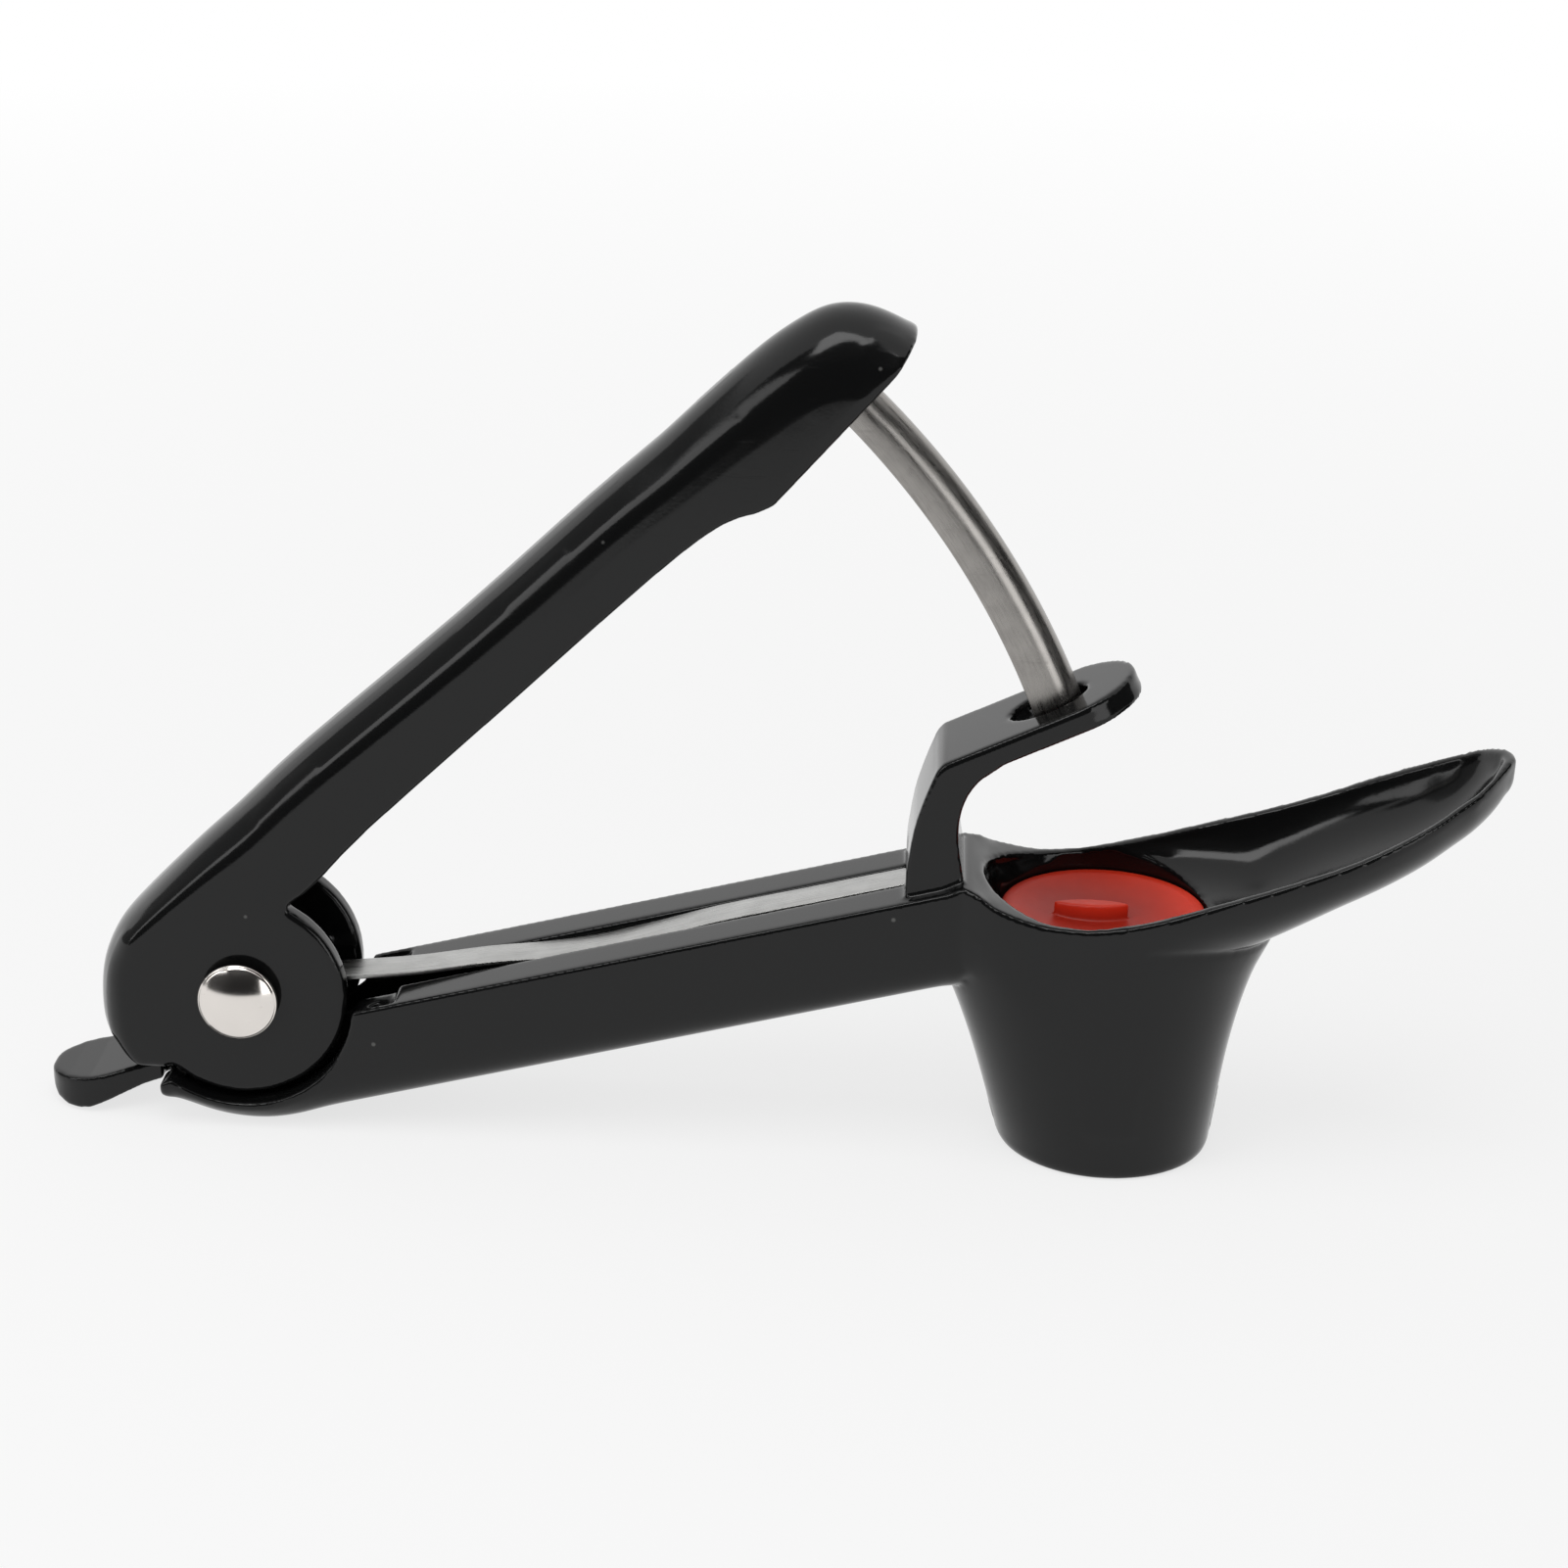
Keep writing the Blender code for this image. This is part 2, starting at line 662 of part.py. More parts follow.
def ledge_pocket(side, tools):
    """Shallow step at the hinge end of a ledge."""
    inner = CHANNEL_WIDTH / 2 - 0.5
    outer = BODY_WIDTH / 2 - LEDGE_RIM
    start = LEDGE_START[0] - 6.0
    outline = []
    for x, drop in ((start, LEDGE_POCKET_DEPTH), (LEDGE_POCKET_END_X, LEDGE_POCKET_DEPTH),
                    (LEDGE_POCKET_END_X, -2.0), (start, -2.0)):
        outline.append((x, ledge_z(x) - drop))
    name = "ledge_pocket_" + ("far" if side > 0 else "near")
    return side_plate(name, outline, tools, outer - inner, side * (inner + outer) / 2)


def ledge_hole(side, tools):
    work = bmesh.new()
    x, y = LEDGE_HOLE_AT
    top = ledge_z(x) + 1.0
    height = LEDGE_HOLE_DEPTH + 1.0
    bmesh.ops.create_cone(
        work, cap_ends=True, segments=20, radius1=LEDGE_HOLE_RADIUS, radius2=LEDGE_HOLE_RADIUS,
        depth=height, matrix=Matrix.Translation((x, side * y, top - height / 2)),
    )
    name = "ledge_hole_" + ("far" if side > 0 else "near")
    mesh = bpy.data.meshes.new(name)
    work.to_mesh(mesh)
    work.free()
    return place(mesh, name, tools)


def seat_recess(tools):
    profile = [(0.0, BOWL_FLOOR + 6.0), (SEAT_RECESS_RADIUS, BOWL_FLOOR + 6.0),
               (SEAT_RECESS_RADIUS, SEAT_BOTTOM - FIT_GAP), (0.0, SEAT_BOTTOM - FIT_GAP)]
    return baked(turned("seat_recess", profile, tools, (SEAT_CENTRE_X, 0.0)))


def make_lower_body(parts, tools, material):
    body = handle_bar(parts)
    rivet_hole = RIVET_SHANK_RADIUS + FIT_GAP
    pin_hole = LATCH_PIN_RADIUS + FIT_GAP
    steps = [
        (cross_cylinder("cradle", CRADLE_RADIUS, (0.0, 0.0), 2 * BODY_WIDTH, tools), "DIFFERENCE"),
        (bowl_hull(tools), "UNION"),
        (drop_tube(tools), "UNION"),
        (arm(tools), "UNION"),
        (plate_end_cut(tools), "DIFFERENCE"),
        (rear_notch(tools), "DIFFERENCE"),
        (lug_block(tools), "UNION"),
        (latch_lug(tools), "UNION"),
        (channel_cut(tools), "DIFFERENCE"),
        (strip_slot(tools), "DIFFERENCE"),
        (ledge_pocket(1, tools), "DIFFERENCE"),
        (ledge_pocket(-1, tools), "DIFFERENCE"),
        (ledge_hole(1, tools), "DIFFERENCE"),
        (ledge_hole(-1, tools), "DIFFERENCE"),
        (bowl_cavity(tools), "DIFFERENCE"),
        (seat_recess(tools), "DIFFERENCE"),
        (tube_bore(tools), "DIFFERENCE"),
        (guide_hole(tools), "DIFFERENCE"),
        (cross_cylinder("rivet_bore", rivet_hole, (0.0, 0.0), BODY_WIDTH, tools), "DIFFERENCE"),
        (cross_cylinder("pin_bore", pin_hole, LATCH_PIVOT, LUG_WIDTH + 1.0, tools), "DIFFERENCE"),
    ]
    for tool, operation in steps:
        combine(body, tool, operation)
        hide_tool(tool)
    finish(body, material, 35.0)
    return body


# Lever stations in the open pose: lower edge, crease and crown, each as (x, z)
LEVER_ROOT_OUTLINE = [
    (-9.0, -9.9, -12.3, -9.9, -14.4, -9.9),
    (-8.4, -8.4, -12.9, -8.4, -16.4, -8.4),
    (-7.0, -5.6, -13.4, -5.6, -18.0, -5.7),
    (-6.0, 0.2, -13.8, 0.5, -17.95, 0.65),
    (-5.6, 2.7, -13.0, 4.2, -16.6, 4.9),
    (-4.4, 5.2, -11.8, 6.9, -14.2, 8.5),
    (1.5, 9.1, -3.4, 14.1, -6.4, 16.8),
    (8.2, 13.6, 2.7, 19.0, -0.7, 22.3),
    (15.7, 21.9, 10.6, 26.8, 7.1, 30.2),
    (33.1, 38.9, 29.0, 43.3, 25.4, 46.9),
]

# The lever's nose end, as the same three points from the middle of the plunger's root
LEVER_NOSE_OUTLINE = [
    (-18.71, -23.49, -23.11, -19.59, -26.81, -15.99),
    (-10.91, -16.99, -15.11, -12.69, -19.21, -8.99),
    (-5.21, -14.59, -10.21, -8.49, -14.71, -4.49),
    (1.79, -8.39, -4.31, -3.59, -8.91, 1.11),
    (3.79, -5.39, -0.81, -1.19, -5.01, 4.41),
    (5.29, -3.29, 2.09, -0.29, -0.11, 7.41),
    (6.29, -1.59, 4.59, -0.19, 4.19, 7.71),
    (6.89, -0.99, 6.69, 0.31, 7.89, 6.41),
    (7.49, -0.49, 8.49, 1.51, 10.69, 4.81),
]
LEVER_ROOF = 2.8
NOSE_WALL_START = 13.0
NOSE_CAVITY_END = 16.0
NOSE_CAVITY_WIDTH = PLUNGER_WIDTH + 2 * FIT_GAP


def lever_rows():
    """Stations of the whole lever, from the hinge to the nose."""
    at = polar(PLUNGER_RADIUS, NOSE_DEG)
    nose = [tuple(value + at[i % 2] for i, value in enumerate(row)) for row in LEVER_NOSE_OUTLINE]
    return LEVER_ROOT_OUTLINE + nose


def lever_ring(edge, crease, crown, half_width):
    """Flat sides from the edge to the crease, then an elliptic arch over the crown."""
    ring = [(edge[0], -half_width, edge[1])]
    for i in range(ARC_STEPS + 1):
        angle = math.pi * i / ARC_STEPS
        rise = math.sin(angle)
        x = crease[0] + (crown[0] - crease[0]) * rise
        z = crease[1] + (crown[1] - crease[1]) * rise
        ring.append((x, -half_width * math.cos(angle), z))
    ring.append((edge[0], half_width, edge[1]))
    return ring


def lever_shell(parts):
    rings = []
    for row in smooth_points(lever_rows(), LEVER_STATIONS):
        rings.append(lever_ring(row[0:2], row[2:4], row[4:6], LEVER_WIDTH / 2))
    return loft("lever", rings, parts)


def lever_cavity(tools):
    """Hollow under the spine, open along the lower edge and narrow in the nose."""
    rings = []
    rows = smooth_points(lever_rows(), LEVER_STATIONS)
    last = len(lever_rows()) - 1
    for i, row in enumerate(rows):
        place_along = last * i / (LEVER_STATIONS - 1)
        if place_along > NOSE_CAVITY_END:
            break
        edge, crease, crown = row[0:2], row[2:4], row[4:6]
        length = math.dist(edge, crown)
        along = ((crown[0] - edge[0]) / length, (crown[1] - edge[1]) / length)
        open_edge = (edge[0] - 3.0 * along[0], edge[1] - 3.0 * along[1])
        roof = (crown[0] - LEVER_ROOF * along[0], crown[1] - LEVER_ROOF * along[1])
        spring = ((crease[0] + roof[0]) / 2, (crease[1] + roof[1]) / 2)
        share = min(max(place_along - NOSE_WALL_START + 1.0, 0.0), 1.0)
        half_width = (EAR_GAP + (NOSE_CAVITY_WIDTH - EAR_GAP) * share) / 2
        rings.append(lever_ring(open_edge, spring, roof, half_width))
    first = [(x, y, z - 3.0) for x, y, z in rings[0]]
    return loft("lever_cavity", [first, *rings], tools)


def land_cut(tools):
    """Everything past the nose's landing face, which meets the plate when closed."""
    turn = CLOSE_ANGLE + STOP_GAP_DEG
    far = PLATE_LENGTH + 4.0
    corners = [plate_point(-3.0), plate_point(far), plate_point(far, -OVERCUT),
               plate_point(-3.0, -OVERCUT)]
    outline = []
    for x, z in corners:
        outline.append(polar(math.hypot(x, z), math.degrees(math.atan2(z, x)) + turn))
    return side_plate("land_cut", outline, tools, 2 * LEVER_WIDTH)


def make_lever(parts, tools, material):
    lever = lever_shell(parts)
    pin_at = polar(PLUNGER_RADIUS, PLUNGER_PIN_DEG)
    catch_at = polar(CATCH_BAR_REACH, CATCH_BAR_DEG)
    press_z = strip_z(PRESS_BAR_REACH) + STRIP_THICKNESS / 2 + FIT_GAP + PRESS_BAR_RADIUS
    bar_length = EAR_GAP + EAR_THICKNESS
    steps = [
        (cross_cylinder("ear_disc", EAR_RADIUS, (0.0, 0.0), LEVER_WIDTH, tools), "UNION"),
        (land_cut(tools), "DIFFERENCE"),
        (cross_cylinder("ear_gap", EAR_RADIUS + 1.2, (0.0, 0.0), EAR_GAP + 2 * EAR_RELIEF,
                        tools), "DIFFERENCE"),
        (lever_cavity(tools), "DIFFERENCE"),
        (cross_cylinder("catch_bar", CATCH_BAR_RADIUS, catch_at, bar_length, tools), "UNION"),
        (cross_cylinder("press_bar", PRESS_BAR_RADIUS, (PRESS_BAR_REACH, press_z), bar_length,
                        tools), "UNION"),
        (cross_cylinder("ear_bore", RIVET_SHANK_RADIUS + FIT_GAP, (0.0, 0.0), 2 * LEVER_WIDTH,
                        tools), "DIFFERENCE"),
        (cross_cylinder("pin_socket", PLUNGER_PIN_RADIUS + FIT_GAP, pin_at,
                        PLUNGER_PIN_LENGTH + 2 * FIT_GAP, tools), "DIFFERENCE"),
    ]
    for tool, operation in steps:
        combine(lever, tool, operation, "MANIFOLD")
        hide_tool(tool)
    finish(lever, material, 35.0)
    return lever


def channel_section(inner, outer):
    """U-channel section as (radius, y): two legs and a round back."""
    half = PLUNGER_WIDTH / 2
    thin = half - PLUNGER_SHEET
    section = [(inner, -half)]
    for i in range(13):
        angle = math.radians(-90.0 + 180.0 * i / 12)
        section.append((outer - half + half * math.cos(angle), half * math.sin(angle)))
    section += [(inner, half), (inner, thin)]
    for i in range(13):
        angle = math.radians(90.0 - 180.0 * i / 12)
        section.append((outer - half + thin * math.cos(angle), thin * math.sin(angle)))
    section.append((inner, -thin))
    return section


def make_plunger(parts, tools, material):
    """U-channel swept about the pivot, its round back outwards."""
    rings = []
    for i in range(25):
        share = i / 24
        degrees = PLUNGER_TIP_DEG + (PLUNGER_ROOT_DEG - PLUNGER_TIP_DEG) * share
        depth = PLUNGER_TIP_DEPTH + (PLUNGER_ROOT_DEPTH - PLUNGER_TIP_DEPTH) * share
        ring = []
        for radius, y in channel_section(PLUNGER_INNER_RADIUS, PLUNGER_INNER_RADIUS + depth):
            x, z = polar(radius, degrees)
            ring.append((x, y, z))
        rings.append(ring)
    plunger = loft("plunger", rings, parts)
    hole = cross_cylinder("plunger_pin_hole", PLUNGER_PIN_RADIUS + FIT_GAP,
                          polar(PLUNGER_RADIUS, PLUNGER_PIN_DEG), LEVER_WIDTH, tools)
    combine(plunger, hole, "DIFFERENCE")
    hide_tool(hole)
    finish(plunger, material, 40.0)
    return plunger


def make_plunger_pin(parts, material):
    pin = cross_cylinder("plunger_pin", PLUNGER_PIN_RADIUS, polar(PLUNGER_RADIUS, PLUNGER_PIN_DEG),
                         PLUNGER_PIN_LENGTH, parts)
    finish(pin, material, 40.0)
    return pin


def make_pivot_rivet(parts, material):
    """Rivet with a domed head on the near side and a flat formed tail on the far side."""
    face = LEVER_WIDTH / 2 + FIT_GAP
    dome = RIVET_HEAD_HEIGHT - RIVET_HEAD_RIM
    profile = [(0.0, face + RIVET_HEAD_HEIGHT)]
    for i in range(1, 11):
        angle = math.radians(90.0 * i / 10)
        height = face + RIVET_HEAD_RIM + dome * math.cos(angle)
        profile.append((RIVET_HEAD_RADIUS * math.sin(angle), height))
    profile += [(RIVET_HEAD_RADIUS, face + RIVET_HEAD_RIM - 0.3), (RIVET_COLLAR_RADIUS, face),
                (RIVET_SHANK_RADIUS, face),
                (RIVET_SHANK_RADIUS, -face), (RIVET_TAIL_RADIUS, -face),
                (RIVET_TAIL_RADIUS, -face - RIVET_TAIL_HEIGHT + 0.3),
                (RIVET_TAIL_RADIUS - 0.4, -face - RIVET_TAIL_HEIGHT),
                (0.0, -face - RIVET_TAIL_HEIGHT)]
    rivet = baked(turned("pivot_rivet", profile, parts, (0.0, 0.0), across=True))
    finish(rivet, material, 40.0)
    return rivet


# The main strip's middle line, as a share of its run and its height above the ledges
STRIP_LINE = [
    (1.000, -STRIP_DROP),
    (0.933, -STRIP_DROP),
    (0.793, -STRIP_DROP),
    (0.659, -STRIP_DROP),
    (0.564, -0.75),
    (0.475, -1.0),
    (0.386, -0.6),
    (0.297, 0.3),
    (0.183, 1.0),
    (0.069, 2.3),
    (0.000, 3.3),
]


def strip_points():
    """Corners of the main strip's middle line, from its gripped end to its tip, as x and rise."""
    run = STRIP_SLOT_END_X - FIT_GAP - STRIP_TIP_X
    return [(STRIP_TIP_X + run * share, rise) for share, rise in STRIP_LINE]


def strip_z(x):
    """Height of the main strip's middle line at x."""
    corners = strip_points()
    for (x1, rise1), (x2, rise2) in zip(corners, corners[1:]):
        if x2 <= x <= x1:
            share = (x1 - x) / (x1 - x2)
            return ledge_z(x) + rise1 + (rise2 - rise1) * share
    return ledge_z(x) + STRIP_LINE[-1][1]


def strip_outline(line):
    upper = []
    lower = []
    for i, (x, z) in enumerate(line):
        before = line[max(i - 1, 0)]
        after = line[min(i + 1, len(line) - 1)]
        run = math.dist(before, after)
        normal = (-(after[1] - before[1]) / run, (after[0] - before[0]) / run)
        half = STRIP_THICKNESS / 2
        upper.append((x + normal[0] * half, z + normal[1] * half))
        lower.append((x - normal[0] * half, z - normal[1] * half))
    return upper + lower[::-1]


def make_springs(parts, material):
    points = [(x, ledge_z(x) + rise) for x, rise in strip_points()]
    line = smooth_points(points, 34)
    main = side_plate("leaf_spring_main", strip_outline(line), parts, STRIP_WIDTH)
    drop = STRIP_THICKNESS + FIT_GAP
    helper_line = [(x, z - drop) for x, z in line if x > HELPER_STRIP_END_X]
    helper = side_plate("leaf_spring_helper", strip_outline(helper_line), parts, STRIP_WIDTH)
    for strip in (main, helper):
        finish(strip, material)
    return main, helper


def make_latch(parts, tools, material):
    """Rocker: a thumb paddle behind the hinge and a hook between the lugs."""
    px, pz = LATCH_PIVOT
    hook = arc(LATCH_HUB_RADIUS, 40.0, 150.0, 12, LATCH_PIVOT)
    hook += [(-10.6, -10.75), (-10.6, -12.75), (-8.9, -12.5)]
    hook += [(px, pz - LATCH_HUB_RADIUS), (-3.0, -13.2), (-0.1, -13.6), (0.0, -11.5),
             (-0.3, -11.2), (-1.2, -11.2), (-1.5, -12.0), (-4.0, -11.6)]
    latch = side_plate("lock_latch", hook, parts, STRIP_WIDTH, origin=LATCH_PIVOT)
    side = [(-10.3, -12.8), (-13.2, -13.9), (-19.0, -16.3), (-20.4, -16.55), (-22.2, -16.5),
            (-23.6, -16.1), (-24.3, -15.3), (-24.8, -13.2), (-24.5, -12.9), (-21.8, -12.65),
            (-19.0, -12.3), (-16.0, -11.7), (-13.0, -11.1), (-10.3, -10.6)]
    paddle = side_plate("paddle_side", side, tools, LATCH_HEAD_WIDTH + 2.0, origin=LATCH_PIVOT)
    neck = LATCH_NECK_WIDTH / 2
    head = LATCH_HEAD_WIDTH / 2
    centre = LATCH_END_X + head
    plan = [(-10.2, -neck), (-12.5, -neck)]
    plan += smooth_points([(-12.6, -neck), (centre + 1.5, -head + 0.15)], 3)[1:]
    plan += [(centre - head * math.sin(math.radians(a)), -head * math.cos(math.radians(a)))
             for a in range(0, 181, 10)]
    plan += [(centre + 1.5, head - 0.15), (-12.5, neck), (-10.2, neck)]
    mesh = outline_mesh("paddle_plan", plan, 2 * PIVOT_HEIGHT)
    mesh.transform(Matrix.Translation((0.0, 0.0, pz)))
    plan_tool = place(mesh, "paddle_plan", tools, LATCH_PIVOT)
    combine(paddle, plan_tool, "INTERSECT")
    hide_tool(plan_tool)
    hide_tool(paddle)
    combine(latch, paddle, "UNION")
    bore = cross_cylinder("latch_bore", LATCH_PIN_RADIUS + FIT_GAP, LATCH_PIVOT, LEVER_WIDTH,
                          tools, origin=LATCH_PIVOT)
    combine(latch, bore, "DIFFERENCE")
    hide_tool(bore)
    finish(latch, material, 35.0)
    return latch


def make_latch_pin(parts, material):
    pin = cross_cylinder("latch_pin", LATCH_PIN_RADIUS, LATCH_PIVOT, LUG_WIDTH, parts)
    finish(pin, material, 40.0)
    return pin


def opening_outline(shrink, side=None, slit=0.0):
    """Oval of the seat's opening, or one half of it beside the slit."""
    length = SEAT_OPENING_LENGTH / 2 - shrink
    width = SEAT_OPENING_WIDTH / 2 - shrink
    centre = SLIT_CENTRE_X
    if side is None:
        return [(centre + length * math.cos(2 * math.pi * i / 40),
                 width * math.sin(2 * math.pi * i / 40)) for i in range(40)]
    points = []
    for i in range(25):
        angle = math.pi * i / 24
        y = max(width * math.sin(angle), slit)
        points.append((centre + length * math.cos(angle), side * y))
    return points




def make_seat(parts, tools, material):
    """Silicone dish with a thick rim, resting on the shelf in the bowl."""
    r = SEAT_RADIUS
    bottom = SEAT_BOTTOM
    under = SEAT_DISH_TOP - SEAT_SKIN
    profile = [(0.0, SEAT_DISH_TOP), (r - 6.4, SEAT_DISH_TOP + 0.05), (r - 3.6, SEAT_DISH_TOP + 0.35),
               (r - 1.9, SEAT_RIM_TOP - 0.35), (r - 1.2, SEAT_RIM_TOP), (r - 0.6, SEAT_RIM_TOP),
               (r, SEAT_RIM_TOP - 0.5), (r, bottom), (BORE_TOP_RADIUS - FIT_GAP, bottom),
               (BORE_TOP_RADIUS - 1.4, under), (0.0, under)]
    seat = baked(turned("cherry_seat", profile, parts, (SEAT_CENTRE_X, 0.0)))
    mesh = outline_mesh("seat_opening", opening_outline(0.0), 12.0)
    mesh.transform(Matrix.Translation((0.0, 0.0, SEAT_DISH_TOP)))
    hole = place(mesh, "seat_opening", tools)
    combine(seat, hole, "DIFFERENCE")
    hide_tool(hole)
    finish(seat, material, 35.0)
    return seat


def make_seat_lip(side, parts, tools, material):
    """One flexing half of the slit lip, filling its half of the opening."""
    name = "seat_lip_" + ("far" if side > 0 else "near")
    gap = FIT_GAP
    mesh = outline_mesh(name, opening_outline(gap, side, gap / 2), SEAT_SKIN)
    mesh.transform(Matrix.Translation((0.0, 0.0, SEAT_DISH_TOP - SEAT_SKIN / 2)))
    lip = place(mesh, name, parts)
    points = []
    steps = 16
    for i in range(steps + 1):
        t = -1.0 + 2.0 * i / steps
        reach = SLIT_LIP_WIDTH / 2 * (1.0 - t * t)
        points.append((SLIT_CENTRE_X + t * SLIT_LIP_LENGTH / 2, side * (gap / 2 + 0.15 + reach)))
    points += [(SLIT_CENTRE_X + SLIT_LIP_LENGTH / 2, side * gap / 2),
               (SLIT_CENTRE_X - SLIT_LIP_LENGTH / 2, side * gap / 2)]
    height = SLIT_LIP_TOP - SEAT_DISH_TOP + SEAT_SKIN / 2
    mesh = outline_mesh(name + "_ridge", points, height)
    mesh.transform(Matrix.Translation((0.0, 0.0, SLIT_LIP_TOP - height / 2)))
    ridge = place(mesh, name + "_ridge", tools)
    combine(lip, ridge, "UNION")
    hide_tool(ridge)
    finish(lip, material, 35.0)
    return lip


def main():
    clear_scene()
    parts = make_collection("cherry_pitter")
    tools = make_collection("cutters")
    black = make_material("black_plastic", (0.012, 0.013, 0.013), 0.3)
    steel = make_material("brushed_steel", (0.55, 0.54, 0.52), 0.3, 1.0)
    nickel = make_material("polished_nickel", (0.75, 0.73, 0.7), 0.15, 1.0)
    red = make_material("red_silicone", (0.6, 0.03, 0.02), 0.45)
    make_lower_body(parts, tools, black)
    make_lever(parts, tools, black)
    make_plunger(parts, tools, steel)
    make_plunger_pin(parts, steel)
    make_pivot_rivet(parts, nickel)
    make_springs(parts, steel)
    make_latch(parts, tools, black)
    make_latch_pin(parts, steel)
    make_seat(parts, tools, red)
    for side in (1, -1):
        make_seat_lip(side, parts, tools, red)


main()
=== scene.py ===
"""Hand cherry pitter: glossy mouldings, brushed steel and a silicone seat over its solids."""

import json
import math

import bmesh
import bpy
import numpy as np
from bpy.props import FloatProperty, FloatVectorProperty, IntProperty, PointerProperty
from bpy.types import Operator, Panel, PropertyGroup
from mathutils import Matrix, Vector
from mathutils.bvhtree import BVHTree
from mathutils.kdtree import KDTree


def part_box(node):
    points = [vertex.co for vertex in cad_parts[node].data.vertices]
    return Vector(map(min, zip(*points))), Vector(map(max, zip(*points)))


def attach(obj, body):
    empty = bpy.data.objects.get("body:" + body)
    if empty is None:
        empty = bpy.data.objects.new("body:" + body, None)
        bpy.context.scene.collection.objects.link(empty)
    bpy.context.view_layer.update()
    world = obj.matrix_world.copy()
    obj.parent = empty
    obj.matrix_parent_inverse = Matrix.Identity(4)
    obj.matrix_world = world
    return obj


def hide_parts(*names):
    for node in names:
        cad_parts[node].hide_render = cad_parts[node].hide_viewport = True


bl_info = {
    "name": "Cherry Pitter",
    "version": (1, 0, 0),
    "blender": (4, 5, 0),
    "location": "View3D > Sidebar > Pitter",
    "description": "Builds the visible pieces of a hand cherry pitter around its solids",
    "category": "Object",
}

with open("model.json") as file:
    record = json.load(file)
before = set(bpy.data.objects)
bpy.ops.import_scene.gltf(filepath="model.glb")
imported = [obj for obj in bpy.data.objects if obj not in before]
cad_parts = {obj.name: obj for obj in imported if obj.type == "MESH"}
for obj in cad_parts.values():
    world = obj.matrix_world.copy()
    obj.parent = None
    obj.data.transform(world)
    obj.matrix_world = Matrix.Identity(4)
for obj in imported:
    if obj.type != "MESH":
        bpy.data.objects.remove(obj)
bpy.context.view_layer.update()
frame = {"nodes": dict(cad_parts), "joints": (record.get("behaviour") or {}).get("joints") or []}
NODES = frame["nodes"]
HINGE = Vector(frame["joints"][0]["pos_m"])
MM = 0.001

# Gaps within which corners are one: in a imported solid, and in a mesh made here
SOLID_MERGE, MESH_MERGE = 2.0e-6, 5.0e-7

# Mouldings: the most triangles, the turns in degrees that count as an edge and a crease, the gap
# between samples along an edge, and what counts as a true flat (least area, least cosine)
MOST_TRIANGLES = 185000
EDGE_ANGLE = 24.0
LEVER_EDGE_ANGLE = 17.0
CREASE_ANGLE = 6.0
EDGE_SPACING = 0.0003
LEAST_FLAT_AREA, LEAST_FLAT_COSINE = 8.0e-6, 0.99995
# Smoothing passes that differ from the common settings
LEVER_EDGE_PASSES = 14
LATCH_EDGE_PASSES = 10
LATCH_FACE_PASSES = 30
BLEND_PASSES = 130
SEAT_PASSES = 5
# How many of the full mesh's normals a thinned corner takes, and what keeps their weights finite
NORMALS_TAKEN, NORMALS_GAP = 4, 0.02 * MM

# Turn in degrees from which an edge is shaded sharp
PLUNGER_SHARP, RIVET_SHARP, SPRING_SHARP = 40.0, 50.0, 35.0

# Plunger: angles at the hinge where its channel starts and ends, rings along it and round its
# curved side, and the rounding of its sheet's edges
PLUNGER_START, PLUNGER_END = math.radians(21.4), math.radians(50.2)
PLUNGER_RINGS = 96
CHANNEL_ARC_STEPS = 32
CHANNEL_LIP = 0.00022

# Rivet: distance of the hinge's outer faces from the middle, the head's radius and rim, the
# collar's, shank's and far end's radii, the rounding of the edges, and the points along the head's
# dome and round its rim, with the angle that the rim turns by
HINGE_FACE = 0.0078
RIVET_HEAD, RIVET_RIM = 0.0048, 0.0014
RIVET_COLLAR, RIVET_SHANK, RIVET_TAIL = 0.0036, 0.0024, 0.0042
RIVET_EDGE = 0.00025
DOME_STEPS, RIM_STEPS, RIM_TURN = 24, 6, 75.0

# Leaf springs: thickness and edge rounding of the strip, the steps and end gaps of its path, and
# the rays that find it (just beside the middle line, from this far above and below)
SPRING_THICKNESS, SPRING_EDGE = 0.0005, 0.00009
SPRING_STEP, SPRING_END_GAP = 0.0008, 0.00003
RAY_Y, RAY_CLEARANCE = 0.0002, 0.01

# Seat: the dish's width as a share of the radius, its curve, how far below the top it ends and how
# thick it is; the rim's points (share of the radius, millimetres below the top); the slit's lips
DISH_STEPS, DISH_WIDTH, DISH_CURVE = 12, 0.87, 2.4
DISH_EDGE, DISH_THICKNESS = 0.12 * MM, 0.9 * MM
SEAT_RIM = ((0.89, 0.03), (0.93, 0.0), (0.965, 0.0), (0.99, 0.12), (1.0, 0.5))
SLIT_STEPS, SLIT_CURVE = 32, 0.75
LIP_WIDTH, SLIT_HALF_GAP = 1.1 * MM, 0.03 * MM

# Steels: roughness, how fast the brushed lines change along each axis, and their depth; the radius
# that turns a swung piece's angle into a length
PLUNGER_STEEL = (0.25, (260.0, 3600.0, 3600.0), 0.10)
SPRING_STEEL = (0.26, (90.0, 5200.0, 90.0), 0.5)
PIN_STEEL = (0.3, (4000.0, 600.0, 4000.0), 0.2)
BRUSHING_RADIUS = 0.1

